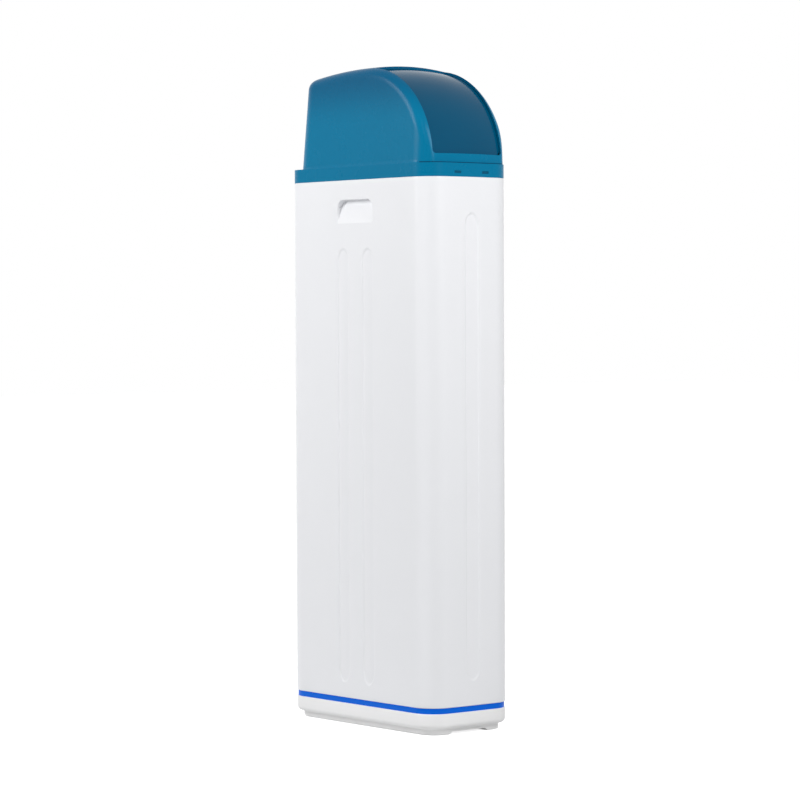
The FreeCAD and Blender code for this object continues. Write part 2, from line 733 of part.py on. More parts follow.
def make_deck():
    rim = size.cabinet_wall - size.rebate_width + size.fit_gap
    plate = prism("DeckPlate", "XY_Plane", cabinet_outline(rim), deck_bottom,
                  size.deck_thickness)
    half = half_width - size.opening_side
    corner = size.cabinet_corner - 15
    valve_hole = prism("DeckValveHole", "XY_Plane",
                       rounded(-half, half, deck_opening_front, deck_opening_rear,
                               corner), deck_bottom - 1, size.deck_thickness + 2)
    salt_hole = prism("DeckSaltHole", "XY_Plane",
                      rounded(salt_opening_left, salt_opening_right,
                              salt_opening_front, salt_opening_rear,
                              size.salt_opening_corner), deck_bottom - 1,
                      size.deck_thickness + 2)
    well_hole = rod("DeckWellHole", size.well_radius + size.fit_gap, size.deck_thickness + 2,
                    well_side, well_front, deck_bottom - 1)
    middle = (salt_opening_left + salt_opening_right) / 2
    hinge_level = deck_top + size.lid_knuckle + size.free_gap
    ears = []
    for name, way in (("Left", -1), ("Right", 1)):
        centre = middle + 22 * way
        foot = block("HingeFoot" + name, (centre - 4, centre + 4),
                     (lid_hinge_back - size.lid_knuckle,
                      lid_hinge_back + size.lid_knuckle), (deck_top - 1, hinge_level))
        eye = rod("HingeEye" + name, size.lid_knuckle, 8, centre - 4, lid_hinge_back,
                  hinge_level, "x")
        ears += [foot, eye]
    pin_hole = rod("HingeHole", size.lid_pin + size.run_gap, 70, middle - 35,
                   lid_hinge_back, hinge_level, "x")
    solid = fuse("DeckSolid", plate, *ears)
    keep(cut("top_deck", solid, valve_hole, salt_hole, well_hole, pin_hole))
    keep(rod("salt_lid_pin", size.lid_pin, 66, middle - 33, lid_hinge_back,
             hinge_level, "x"))


def make_salt_lid():
    over = size.lid_overlap
    low = deck_top + size.fit_gap
    left, right = salt_opening_left - over, salt_opening_right + over
    front, rear = salt_opening_front - over, salt_opening_rear + over
    plate = prism("LidPlate", "XY_Plane",
                  rounded(left, right, front, rear, size.salt_opening_corner + over), low,
                  size.lid_thickness)
    middle = (salt_opening_left + salt_opening_right) / 2
    hinge_level = deck_top + size.lid_knuckle + size.free_gap
    back = lid_hinge_back
    knuckle = rod("LidKnuckle", size.lid_knuckle, 35, middle - 17.5, back, hinge_level, "x")
    web = block("LidWeb", (middle - 17.5, middle + 17.5), (rear - 4, back),
                (low, low + size.lid_thickness))
    hole = rod("LidPinHole", size.lid_pin + size.run_gap, 40, middle - 20, back,
               hinge_level, "x")
    grip = block("LidGrip", (middle - 20, middle + 20), (front + 6, front + 10),
                 (low + size.lid_thickness - 1, low + size.lid_thickness + 7))
    keep(cut("salt_lid", fuse("LidSolid", plate, knuckle, web, grip), hole))


def make_platform():
    wall = size.cabinet_wall + 1
    left, right = wall - half_width, half_width - wall
    front, rear = wall - half_depth, platform_rear
    corner = size.cabinet_corner - wall
    plate_points = [(left + corner, front), (right - corner, front),
                    (right, front + corner, corner), (right, rear), (left, rear),
                    (left, front + corner), (left + corner, front, corner)][1:]
    plate = prism("PlatformPlate", "XY_Plane", plate_points, platform_level,
                  size.platform_thickness)
    well = rod("PlatformWellHole", size.well_radius + size.free_gap,
               size.platform_thickness + 2, well_side, well_front,
               platform_level - 1)
    slots = [well]
    for row in range(5):
        for column in range(2):
            left_edge = left + size.slot_margin + size.slot_column * column
            front_edge = front + size.slot_margin + size.slot_pitch * row
            slots.append(block("Slot%d%d" % (row, column),
                               (left_edge, left_edge + size.slot_length),
                               (front_edge, front_edge + size.slot_width),
                               (platform_level - 1,
                                platform_level + size.platform_thickness + 1)))
    legs = []
    near, far = left + size.leg_margin, right - size.leg_margin
    front_leg, rear_leg = front + size.leg_front, rear - size.leg_margin
    for number, (x, y) in enumerate(((near, front_leg), (far, front_leg), (near, rear_leg),
                                     (far, rear_leg)), 1):
        legs.append(rod("Leg%d" % number, size.platform_leg,
                        platform_level - tub_floor + 1, x, y, tub_floor))
    keep(fuse("salt_platform", cut("PlatformGrid", plate, *slots), *legs))


def make_brine_well():
    outer, wall = size.well_radius, size.well_wall
    inner, middle = outer - wall, outer - wall / 2
    shoulder = well_top - size.well_neck
    lap = shoulder + size.well_lap
    lower = turned("WellLower", [(inner, tub_floor), (outer, tub_floor), (outer, shoulder),
                                 (middle - size.fit_gap, shoulder),
                                 (middle - size.fit_gap, lap), (inner, lap)],
                   well_side, well_front)
    upper = turned("WellUpper", [(middle, shoulder), (outer, shoulder), (outer, well_top),
                                 (inner, well_top), (inner, lap), (middle, lap)],
                   well_side, well_front)
    hose_hole = rod("WellHoseHole", size.hose_radius + 3.2, outer * 1.5, well_side
                    + size.pickup_offset, well_front, brine_level, "y")
    vents = []
    for number in range(4):
        level = tub_floor + 8 + 18 * number
        vents.append(block("WellSlot%d" % number,
                           (well_side - 5, well_side + 5),
                           (well_front - outer - 1, well_front + outer + 1),
                           (level, level + 8)))
    keep(group("brine_well", cut("WellFoot", lower, *vents), cut("WellNeck", upper, hose_hole)))
    cap_outer = outer + size.fit_gap + 2.5
    lip = outer + size.fit_gap
    top = well_top
    keep(turned("brine_well_cap", [
        (0, top), (lip, top), (lip, top - size.cap_skirt), (cap_outer, top - size.cap_skirt),
        (cap_outer, top + size.cap_thickness), (12, top + size.cap_thickness),
        (12, top + size.cap_thickness + 6), (0, top + size.cap_thickness + 6)],
        well_side, well_front))


def make_float_set():
    pickup_x = well_side + size.pickup_offset
    float_x = well_side + size.float_offset
    front = well_front
    low = shutoff_level
    high = low + size.shutoff_height
    radius = size.pickup_radius
    keep(turned("brine_pickup", [
        (radius - 1.2, tub_floor + 8), (radius, tub_floor + 8), (radius, low),
        (radius - 1.2, low)], pickup_x, front))
    foot = tub_floor + size.fit_gap
    cross = block("PickupBridge", (pickup_x + radius + 1, float_x - size.float_rod - 1),
                  (front - 3, front + 3), (foot + 10, foot + 16))
    strainer = turned("PickupStrainer", [
        (radius + size.run_gap, foot + 10), (radius + 2, foot + 10), (radius + 2, foot + 40),
        (radius + size.run_gap, foot + 40)], pickup_x, front)
    socket = turned("RodSocket", [
        (0, foot), (size.float_rod + 3, foot), (size.float_rod + 3, foot + 30),
        (size.float_rod + size.run_gap, foot + 30), (size.float_rod + size.run_gap, foot + 12),
        (0, foot + 12)], float_x, front)
    keep(fuse("pickup_foot", cross, strainer, socket))
    housing = block("ShutoffHousing", (pickup_x - 9, float_x + 9), (front - 9, front + 9),
                    (low, high))
    spout_length = size.well_radius + 6
    spout = rod("ShutoffSpout", size.hose_radius + 1.2, spout_length, pickup_x, front,
                brine_level, "y")
    passage = rod("ShutoffPassage", size.hose_bore, spout_length + 1, pickup_x, front,
                  brine_level, "y")
    drop = rod("ShutoffDrop", size.hose_bore, brine_level - low + 1, pickup_x, front,
               low - 1)
    rod_hole = rod("ShutoffRodHole", size.float_rod + size.run_gap, 13, float_x, front,
                   low - 1)
    keep(cut("safety_shutoff", fuse("ShutoffSolid", housing, spout), passage, drop, rod_hole))
    stops = [turned("FloatStop%d" % number, [
        (0, level), (size.float_rod + 3, level), (size.float_rod + 3, level + 4),
        (0, level + 4)], float_x, front)
        for number, level in enumerate((float_level - 4, float_level
                                        + size.float_height + size.float_travel), 1)]
    stem = rod("FloatStem", size.float_rod, low + 12 - (foot + 12), float_x, front, foot + 12)
    keep(fuse("float_rod", stem, *stops))
    bore = size.float_rod + 0.1
    level = float_level
    outer = size.float_radius
    keep(turned("float", [
        (bore, level), (outer - 3, level), (outer, level + 3, 3),
        (outer, level + size.float_height - 3), (outer - 3, level + size.float_height, 3),
        (bore, level + size.float_height)], float_x, front))


def rounded_path(points, radii):
    """Wire of straight runs joined by tangent arcs."""
    edges = []
    start = points[0]
    for before, corner, after, radius in zip(points, points[1:], points[2:], radii):
        into = (corner - before).normalize()
        out = (after - corner).normalize()
        turn_angle = into.getAngle(out)
        reach = radius * math.tan(turn_angle / 2)
        entry = corner - into * reach
        leave = corner + out * reach
        bisector = (out - into).normalize()
        centre = corner + bisector * (radius / math.cos(turn_angle / 2))
        edges.append(Part.LineSegment(start, entry).toShape())
        edges.append(Part.Arc(entry, centre - bisector * radius, leave).toShape())
        start = leave
    edges.append(Part.LineSegment(start, points[-1]).toShape())
    return Part.Wire(edges)


def make_brine_hose():
    start_x = (well_side + size.pickup_offset).value
    start_y = (well_front + size.well_radius + 6).value
    low = brine_level.value
    end_x = size.brine_port_side.value
    end_y = (valve_front - 15).value
    high = brine_port_level.value
    points = [VECTOR(start_x, start_y, low), VECTOR(start_x, start_y + 52, low),
              VECTOR((start_x + end_x) / 2 + 3, end_y - 48, low + 9),
              VECTOR(end_x, end_y - 18, high), VECTOR(end_x, end_y, high)]
    radii = []
    for before, corner, after in zip(points, points[1:], points[2:]):
        shorter = min((corner - before).Length, (after - corner).Length)
        bend = (corner - before).getAngle(after - corner)
        radii.append(0.45 * shorter / math.tan(bend / 2))
    print("brine hose bends", [round(radius, 1) for radius in radii])
    path = rounded_path(points, radii)
    solids = []
    for radius in (size.hose_radius.value, size.hose_bore.value):
        ring = Part.Wire(Part.Circle(points[0], VECTOR(0, 1, 0), radius).toShape())
        solids.append(path.makePipeShell([ring], True, False))
    keep(shaped("brine_hose", solids[0].cut(solids[1])))
    expected = math.pi * (size.hose_radius.value ** 2 - size.hose_bore.value ** 2) * path.Length
    print("brine hose volume", round(solids[0].Volume - solids[1].Volume), round(expected))


# Pressure vessel with what stands in it

def make_vessel():
    radius, wall = vessel_radius, size.vessel_wall
    inner = radius - wall
    waist, neck, bore = size.neck_waist, size.neck_radius, size.neck_bore
    bottom = tub_floor + size.vessel_lift
    low_centre = bottom + radius
    shoulder = neck_top - size.neck_height
    high_centre = shoulder - root(radius * radius - waist * waist)
    mouth = high_centre + root(inner * inner - bore * bore)
    keep(turned("pressure_vessel", [
        (0, bottom), (radius, low_centre, radius), (radius, high_centre),
        (waist, shoulder, radius), (neck, shoulder), (neck, neck_top), (bore, neck_top),
        (bore, mouth), (inner, high_centre, -inner), (inner, low_centre),
        (0, bottom + wall, -inner)], 0, vessel_back))
    seat = radius + size.fit_gap
    foot_top = tub_floor + size.foot_height
    drop_top = low_centre - foot_top
    upper = root(seat * seat - drop_top * drop_top)
    lower = low_centre - root(seat * seat - size.foot_bore * size.foot_bore)
    keep(turned("vessel_foot", [
        (size.foot_bore, tub_floor), (radius, tub_floor), (radius, foot_top),
        (upper, foot_top), (size.foot_bore, lower, -seat)], 0, vessel_back))
    riser = size.riser_radius
    basket_bottom = bottom + wall + size.fit_gap
    basket_top = basket_bottom + size.basket_height
    keep(turned("riser_tube", [
        (riser - size.riser_wall, basket_top - 20), (riser, basket_top - 20),
        (riser, block_bottom - 6), (riser - size.riser_wall, block_bottom - 6)],
        0, vessel_back))
    basket = size.basket_radius
    sphere_low = low_centre - root(inner * inner - (basket - 8) * (basket - 8))
    strainer = turned("BasketBody", [
        (0, basket_bottom + 1), (basket - 8, sphere_low + 1), (basket, sphere_low + 8),
        (basket, basket_top - 6), (riser + 3, basket_top), (riser + size.run_gap, basket_top),
        (riser + size.run_gap, basket_top - 20), (riser - 2, basket_top - 20),
        (riser - 2, basket_bottom + 12), (0, basket_bottom + 12)], 0, vessel_back)
    slots = []
    for number in range(6):
        level = sphere_low + 10 + number * 3.2
        slots.append(turned("BasketSlot%d" % number, [
            (basket - 2, level), (basket + 1, level), (basket + 1, level + 1),
            (basket - 2, level + 1)], 0, vessel_back))
    keep(cut("bottom_distributor", strainer, *slots))
    cage_top = flange_bottom - size.spigot_length
    keep(turned("top_distributor", [
        (riser + size.run_gap, cage_top), (riser + size.run_gap, cage_top - 24),
        (riser + 4, cage_top - 24), (bore - 1, cage_top - 4), (bore - 1, cage_top)],
        0, vessel_back))


# Control valve with its discs and gear drive

def port_places():
    half = size.port_spacing / 2
    return (("Inlet", -half), ("Outlet", half))


def make_valve_body():
    back, riser = vessel_back, size.riser_radius
    flange = turned("ValveFlange", [
        (riser + size.run_gap, flange_bottom - size.spigot_length),
        (size.neck_bore - 0.3, flange_bottom - size.spigot_length),
        (size.neck_bore - 0.3, flange_bottom), (size.flange_radius, flange_bottom),
        (size.flange_radius, block_bottom + 1), (riser + size.run_gap, block_bottom + 1)],
        0, back)
    half = size.valve_width / 2
    casting = prism("ValveBlock", "XY_Plane",
                    rounded(-half, half, valve_front, valve_rear, as_dim(12)),
                    block_bottom, size.valve_height)
    parts = [flange, casting]
    tools = [rod("RiserSeat", riser + size.run_gap, 20, 0, back, flange_bottom),
             rod("DiscChamber", size.disc_radius + size.fit_gap, size.chamber_depth + 1,
                 0, back, block_top - size.chamber_depth)]
    for name, x in port_places():
        parts.append(rod("ValvePort" + name, size.port_radius, size.port_length + 1, x,
                         valve_rear - 1, port_level, "y"))
        tools.append(rod("ValveBore" + name, size.port_bore, size.port_length + 26, x,
                         valve_rear - 25, port_level, "y"))
    tools.append(rod("InjectorBore", 6.2, 22, -half - 1, valve_front + 25,
                     brine_port_level, "x"))
    tools.append(rod("DrainBore", 6, 12, 0, valve_rear - 11, drain_level, "y"))
    tools.append(rod("BrineBore", 5, 12, size.brine_port_side, valve_front - 1,
                     brine_port_level, "y"))
    keep(cut("valve_body", fuse("ValveSolid", *parts), *tools))
    keep(turned("neck_gasket", [
        (size.neck_bore + 1, neck_top), (size.neck_radius - 1, neck_top),
        (size.neck_radius - 1, flange_bottom), (size.neck_bore + 1, flange_bottom)], 0, back))


def make_discs():
    back = vessel_back
    seat = block_top - size.chamber_depth
    moving_bottom = seat + size.disc_thickness + 0.1
    moving_top = moving_bottom + size.disc_thickness
    for name, low, radius, holes in (
            ("fixed_disc", seat, size.disc_radius, 4),
            ("moving_disc", moving_bottom, size.disc_radius - 0.3, 2)):
        blank = rod(name + "_blank", radius, size.disc_thickness, 0, back, low)
        tools = []
        for number in range(holes):
            angle = 45 + 360.0 / holes * number
            x = size.disc_hole_circle * math.cos(math.radians(angle))
            y = back + size.disc_hole_circle * math.sin(math.radians(angle))
            tools.append(rod("%s_hole%d" % (name, number), size.disc_hole,
                             size.disc_thickness + 2, x, y, low - 1))
        keep(cut(name, blank, *tools))
    shaft = size.shaft_radius
    keep(turned("drive_shaft", [
        (0, moving_top), (20, moving_top), (20, moving_top + 5), (shaft, moving_top + 5),
        (shaft, gear_top + 1), (0, gear_top + 1)], 0, back))
    plate = turned("CoverPlate", [
        (shaft + size.run_gap, moving_top + 5.5), (shaft + 6, moving_top + 5.5),
        (shaft + 6, block_top), (size.cover_radius, block_top),
        (size.cover_radius, cover_top), (shaft + size.run_gap, cover_top)], 0, back)
    keep(plate)
    plate.Label = "valve_cover"


def gear_shape(teeth, x, y, low, bore, facing):
    """Involute gear of 20 degrees pressure angle, with the middle of a tooth at an angle."""
    module = size.gear_module.value
    pitch = teeth * module / 2
    base = pitch * math.cos(math.radians(20))
    tip = pitch + 0.9 * module
    foot = pitch - 1.2 * module
    flat = math.tan(math.radians(20)) - math.radians(20)
    half_tooth = math.pi / (2 * teeth) - size.gear_backlash.value / (4 * pitch)
    flank = []
    for step in range(5):
        radius = max(base, foot) + (tip - max(base, foot)) * step / 4
        roll = math.acos(min(base / radius, 1))
        flank.append((radius, half_tooth + flat - (math.tan(roll) - roll)))
    points = []
    for tooth in range(teeth):
        middle = facing + 2 * math.pi * tooth / teeth
        spots = [(foot, -flank[0][1])] + [(radius, -angle) for radius, angle in flank]
        spots += [(radius, angle) for radius, angle in reversed(flank)]
        spots.append((foot, flank[0][1]))
        for radius, angle in spots:
            turn_to = middle + angle
            points.append(VECTOR(x + radius * math.cos(turn_to),
                                 y + radius * math.sin(turn_to), low))
    points.append(points[0])
    face = Part.Face(Part.makePolygon(points))
    blank = face.extrude(VECTOR(0, 0, size.gear_face.value))
    return blank.cut(Part.makeCylinder(bore, size.gear_face.value + 2, VECTOR(x, y, low - 1)))


def make_drive():
    back = vessel_back
    low = gear_bottom.value
    spacing = (size.gear_teeth + size.pinion_teeth) * size.gear_module / 2
    motor_x = -spacing * cosine(size.motor_angle)
    motor_y = back + spacing * sine(size.motor_angle)
    facing = math.pi - math.radians(size.motor_angle.value)
    keep(shaped("drive_gear", gear_shape(int(size.gear_teeth.value), 0, back.value, low,
                                         size.shaft_radius.value + 0.02, facing)))
    teeth = int(size.pinion_teeth.value)
    stem_radius = size.motor_shaft.value
    pinion = gear_shape(teeth, motor_x.value, motor_y.value, low, stem_radius,
                        facing + math.pi + math.pi / teeth)
    stem = Part.makeCylinder(stem_radius, (bracket_bottom - gear_bottom).value + 2,
                             VECTOR(motor_x.value, motor_y.value, low))
    keep(shaped("motor_pinion", pinion.fuse(stem)))
    top = bracket_bottom + size.bracket_thickness
    margin = size.bracket_margin
    plate = prism("BracketPlate", "XY_Plane",
                  rounded(motor_x - margin, margin, back - margin, motor_y + margin, margin / 3),
                  bracket_bottom, size.bracket_thickness)
    leg = size.bracket_leg
    post_x = size.cover_radius + leg * 1.5
    bridge = block("BracketBridge", (margin / 2, post_x + leg), (back - leg * 2, back + leg * 2),
                   (bracket_bottom, top))
    legs = []
    for number, (x, y) in enumerate(((post_x, back), (motor_x - leg * 3, back + leg * 2),
                                     (motor_x + leg * 3, motor_y + margin - leg)), 1):
        legs.append(rod("BracketLeg%d" % number, leg, bracket_bottom - head_bottom + 1, x, y,
                        head_bottom))
    hole = rod("BracketHole", size.motor_shaft + 1, size.bracket_thickness + 2, motor_x,
               motor_y, bracket_bottom - 1)
    keep(cut("motor_bracket", fuse("BracketSolid", plate, bridge, *legs), hole))
    motor = turned("MotorCan", [
        (0, top + 1), (size.motor_shaft + 0.5, top + 1), (size.motor_shaft + 0.5, top),
        (size.motor_radius, top), (size.motor_radius, top + size.motor_height),
        (0, top + size.motor_height)], motor_x, motor_y)
    motor.Label = "drive_motor"
    keep(motor)


# Valve head: base plate, cover with a display slope, board and buttons

def on_slope(item, across=0, along=0, out=0):
    """Put an item whose local Z stands off the display slope at a place on that slope."""
    item.Placement = FreeCAD.Placement(VECTOR(0, 0, 0), FreeCAD.Rotation(VECTOR(1, 0, 0), 1))
    bind(item, "Placement.Rotation.Angle", size.head_slope)
    rise = size.head_height - size.head_lip
    run = rise * cosine(size.head_slope) / sine(size.head_slope)
    middle_y = head_front + run / 2
    middle_z = head_bottom + size.head_lip + rise / 2
    bind(item, "Placement.Base.x", across)
    bind(item, "Placement.Base.y", middle_y + along * cosine(size.head_slope)
         - out * sine(size.head_slope))
    bind(item, "Placement.Base.z", middle_z + along * sine(size.head_slope)
         + out * cosine(size.head_slope))
    return item


def head_profile(inset):
    rise = size.head_height - size.head_lip
    run = rise * cosine(size.head_slope) / sine(size.head_slope)
    corner = inset * (1 - cosine(size.head_slope)) / sine(size.head_slope)
    low = head_bottom if inset is ZERO else head_bottom - 1
    top = head_bottom + size.head_height - inset
    return [
        (head_front + inset, low),
        (head_rear - inset, low),
        (head_rear - inset, top),
        (head_front + run + corner, top),
        (head_front + inset, head_bottom + size.head_lip
         - inset * (1 - sine(size.head_slope)) / cosine(size.head_slope)),
    ]


ZERO = as_dim(0)
BUTTONS = ("menu_button", "down_button", "up_button", "enter_button")


def button_place(number):
    return size.button_pitch * (number - 1.5)


def make_head():
    half = size.head_width / 2
    wall = size.head_wall
    outer = prism("HeadOutside", "YZ_Plane", head_profile(ZERO), -half, size.head_width)
    doc.recompute()
    edges = outer.Tip
    rounding = outer.newObject("PartDesign::Fillet", "HeadRounding")
    top = [index for index, edge in enumerate(edges.Shape.Edges, 1)
           if edge.BoundBox.ZMin > head_bottom.value + 1]
    rounding.Base = (edges, ["Edge%d" % index for index in top])
    rounding.Radius = 4
    inner = prism("HeadInside", "YZ_Plane", head_profile(wall), wall - half,
                  size.head_width - wall * 2)
    window = on_slope(prism("HeadWindow", "XY_Plane",
                            rectangle(-size.lens_width / 2, size.lens_width / 2,
                                      -size.lens_height / 2, size.lens_height / 2),
                            as_dim(-10), as_dim(20)), 0, 7)
    tools = [inner, window]
    for number in range(len(BUTTONS)):
        hole = on_slope(rod("ButtonHole%d" % number, size.button_radius + size.free_gap, 20))
        tools.append(on_slope(hole, button_place(number), -11, -10))
    tools.append(rod("PowerHole", 6.1, 12, 40, head_rear - 6, head_bottom + 31, "y"))
    posts = []
    depth = size.board_depth
    for number, (across, along) in enumerate(((-38, -12), (38, -12), (-38, 16), (38, 16)), 1):
        post = rod("BoardPost%d" % number, 3, depth - wall + 0.5)
        posts.append(on_slope(post, across, along, -depth))
    shell = cut("HeadShell", outer, *tools)
    keep(fuse("head_cover", shell, *posts))
    lip = head_bottom - size.head_base
    plate = block("HeadPlate", (2 - half, half - 2), (head_front + 2, head_rear - 2),
                  (lip, head_bottom))
    hole = rod("HeadPlateHole", size.cover_radius + size.free_gap, size.head_base + 2, 0,
               vessel_back, lip - 1)
    keep(cut("head_base", plate, hole))
    screws = []
    for number, (x, y) in enumerate(((-1, -1), (1, -1), (-1, 1), (1, 1)), 1):
        middle = (valve_front + valve_rear) / 2
        reach = (valve_rear - valve_front) / 2 - 9
        screws.append(turned("HeadScrew%d" % number, [
            (0, head_bottom), (3.5, head_bottom), (3.5, head_bottom + 2.4),
            (0, head_bottom + 2.4)], (size.valve_width / 2 - 6) * x, middle + reach * y))
    keep(group("head_screws", *screws))


def make_display():
    wide, tall = size.bezel_width / 2, size.bezel_height / 2
    frame = on_slope(prism("BezelPlate", "XY_Plane",
                           rounded(-wide, wide, -tall, tall, as_dim(5)), ZERO,
                           size.bezel_thickness))
    half, high = size.lens_width / 2, size.lens_height / 2
    window = on_slope(prism("BezelWindow", "XY_Plane", rectangle(-half, half, -high, high),
                            as_dim(-1), size.bezel_thickness + 2), 0, 7)
    tools = [window]
    for number in range(len(BUTTONS)):
        hole = rod("BezelHole%d" % number, size.button_radius + size.free_gap,
                   size.bezel_thickness + 2)
        tools.append(on_slope(hole, button_place(number), -11, -1))
    keep(cut("display_frame", frame, *tools))
    gap = size.fit_gap
    lens = on_slope(prism("LensPlate", "XY_Plane",
                          rectangle(gap - half, half - gap, gap - high, high - gap),
                          as_dim(-4), size.bezel_thickness + 3), 0, 7)
    lens.Label = "display_window"
    keep(lens)
    depth = size.board_depth
    plate = prism("BoardPlate", "XY_Plane",
                  rectangle(as_dim(-46), as_dim(46), as_dim(-18), as_dim(20)), ZERO,
                  size.board_thickness)
    parts = [on_slope(plate, 0, 0, -depth - size.board_thickness)]
    switch_top = -size.head_wall - 2 - size.button_travel - 0.4
    for number in range(len(BUTTONS)):
        switch = rod("Switch%d" % number, 3, switch_top + depth)
        parts.append(on_slope(switch, button_place(number), -11, -depth))
    screen = prism("ScreenBlock", "XY_Plane",
                   rectangle(3 - half, half - 3, 2 - high, high - 2), -depth,
                   depth - 4 - gap)
    parts.append(on_slope(screen, 0, 7))
    keep(fuse("circuit_board", *parts))
    for number, name in enumerate(BUTTONS):
        flange = size.button_radius + 1.6
        under = -size.head_wall - gap
        top = size.bezel_thickness + size.button_proud
        stem = size.button_radius
        button = body(name)
        turn(button, outline(button, name + "Profile", "XZ_Plane", [
            (0, under - 1.8), (flange, under - 1.8), (flange, under), (stem, under),
            (stem, top - 1), (stem - 1, top, 1), (0, top)]))
        keep(on_slope(button, button_place(number), -11))


def make_fittings():
    half = size.valve_width / 2
    y, z = valve_front + 25, brine_port_level
    keep(turned("injector_cap", [
        (0, 0), (5, 0), (5, -14), (6.1, -14), (6.1, 0), (11, 0), (11, 7), (9.5, 8.5), (0, 8.5)],
        -half, y, z, "-x"))
    keep(turned("injector", [
        (1.5, 14.2), (6, 14.2), (6, 20.8), (3, 20.8), (1.5, 20.8)], -half, y, z, "x"))
    keep(turned("brine_fitting", [
        (size.hose_bore, -8), (4.9, -8), (4.9, 0), (9, 0), (9, 5), (7, 5), (7, 15),
        (size.hose_bore, 15)], size.brine_port_side, valve_front, z, "-y"))
    length = stub_rear - valve_rear
    barb = size.hose_barb - 1.2
    keep(turned("drain_fitting", [
        (4, -8), (5.9, -8), (5.9, 0), (9, 0), (9, 6), (6, 6), (6, length - 18),
        (barb, length - 18), (5.4, length - 12), (barb, length - 12), (5.4, length - 6),
        (barb, length - 6), (5, length), (4, length)],
        0, valve_rear, drain_level, "y"))
    keep(turned("power_inlet", [
        (1.2, -10), (6, -10), (6, 0), (8.5, 0), (8.5, 2.2), (3.2, 2.2), (3.2, -7), (1.2, -7)],
        40, head_rear, head_bottom + 31, "y"))
    x = size.port_spacing / 2
    bore = size.port_bore
    cage_start = valve_rear + 1
    ring = turned("CageRing", [
        (bore - 1.4, 0), (bore - 0.1, 0), (bore - 0.1, 6), (bore - 1.4, 6)],
        x, cage_start, port_level, "y")
    spider = block("CageSpider", (x - bore + 1, x + bore - 1), (cage_start + 2, cage_start + 5),
                   (port_level - 1.4, port_level + 1.4))
    axle = rod("CageAxle", 1, 13, x, cage_start - 10, port_level, "y")
    keep(fuse("turbine_cage", ring, spider, axle))
    hub = turned("TurbineHub", [(1.04, -9), (2.8, -9), (2.8, -1), (1.04, -1)], x, cage_start,
                 port_level, "y")
    blades = []
    for number in range(3):
        blade = doc.addObject("Part::Box", "TurbineBlade%d" % number)
        bind(blade, "Length", bore * 2 - 3)
        blade.Width = 7
        blade.Height = 1
        turn_to = FreeCAD.Rotation(VECTOR(0, 1, 0), 60 * number)
        corner = turn_to.multVec(VECTOR(1.5 - bore.value, 0, -0.5))
        blade.Placement = FreeCAD.Placement(VECTOR(0, 0, 0), turn_to)
        bind(blade, "Placement.Base.x", x + corner.x)
        bind(blade, "Placement.Base.y", cage_start - 8.5)
        bind(blade, "Placement.Base.z", port_level + corner.z)
        blades.append(blade)
    clear = rod("TurbineBore", 1.04, 10, x, cage_start - 9.5, port_level, "y")
    keep(cut("flow_turbine", fuse("TurbineSolid", hub, *blades), clear))


# Bypass behind the valve

def make_bypass():
    y, z = bypass_back, port_level
    rise = size.bypass_rise
    front = valve_rear + 3
    seal_end = valve_rear + size.port_length + size.gasket_thickness
    parts, tools = [], []
    for name, x in port_places():
        parts.append(rod("Chamber" + name, size.bypass_chamber, rise * 2, x, y, z - rise))
        parts.append(rod("Socket" + name, size.bypass_socket, y - front, x, front, z, "y"))
        parts.append(rod("Collar" + name, size.stub_collar, size.bypass_chamber, x, y, z, "y"))
        parts.append(rod("Stub" + name, size.stub_radius, stub_rear - y, x, y, z, "y"))
        tools.append(rod("Through" + name, size.port_bore, stub_rear - front + 2, x,
                         front - 1, z, "y"))
        tools.append(rod("SocketBore" + name, size.port_radius + 0.1, seal_end - front + 1, x,
                         front - 1, z, "y"))
        tools.append(rod("RotorBore" + name, size.bypass_rotor + size.run_gap, rise * 2, x, y,
                         z - rise + 4))
    half = size.port_spacing / 2
    parts.append(rod("CrossPipe", size.bypass_cross, size.port_spacing, -half, y, z, "x"))
    tools.append(rod("CrossBore", size.bypass_cross - 3, size.port_spacing, -half, y, z, "x"))
    keep(cut("bypass_body", fuse("BypassSolid", *parts), *tools))
    seals, nuts = [], []
    for name, x in port_places():
        seals.append(turned("Seal" + name, [
            (size.port_bore + 0.2, 0), (size.port_radius - 0.1, 0),
            (size.port_radius - 0.1, size.gasket_thickness),
            (size.port_bore + 0.2, size.gasket_thickness)],
            x, valve_rear + size.port_length, z, "y"))
        inner = size.bypass_socket + size.fit_gap
        nuts.append(turned("Nut" + name, [
            (size.port_radius + size.fit_gap, 0.3), (size.nut_radius - 1, 0.3),
            (size.nut_radius, 1.3), (size.nut_radius, size.nut_length - 1),
            (size.nut_radius - 1, size.nut_length), (inner, size.nut_length), (inner, 2.7),
            (size.port_radius + size.fit_gap, 2.7)], x, valve_rear, z, "y"))
        rotor_low = z - rise + 4 + size.run_gap
        top = z + rise
        blank = turned(name + "RotorBlank", [
            (0, rotor_low), (size.bypass_rotor, rotor_low), (size.bypass_rotor, top),
            (6, top), (6, top + 9), (0, top + 9)], x, y)
        way = rod(name + "RotorWay", size.port_bore - 1, size.bypass_rotor * 2 + 2, x,
                  y - size.bypass_rotor - 1, z, "y")
        keep(cut(name.lower() + "_rotor", blank, way))
        half_length, half_thick = size.lever_length / 2, size.lever_width / 2
        bar = prism(name + "Bar", "XY_Plane",
                    rounded(x - half_thick, x + half_thick, y - half_length, y + half_length,
                            as_dim(4)), top + 2, size.lever_height)
        boss = rod(name + "Boss", 9, 7, x, y, top + 2)
        bore = rod(name + "LeverBore", 6.02, 7.02, x, y, top + 2)
        keep(cut(name.lower() + "_lever", fuse(name + "LeverSolid", bar, boss), bore))
    keep(group("port_seals", *seals))
    keep(group("union_nuts", *nuts))


# Hood: a skirt band, walls that follow the front curve and the roof, and the visor in its window

def fall_across(crown, half):
    """How far a crowned surface has fallen at a distance from its middle."""
    return crown - root(crown * crown - half * half)


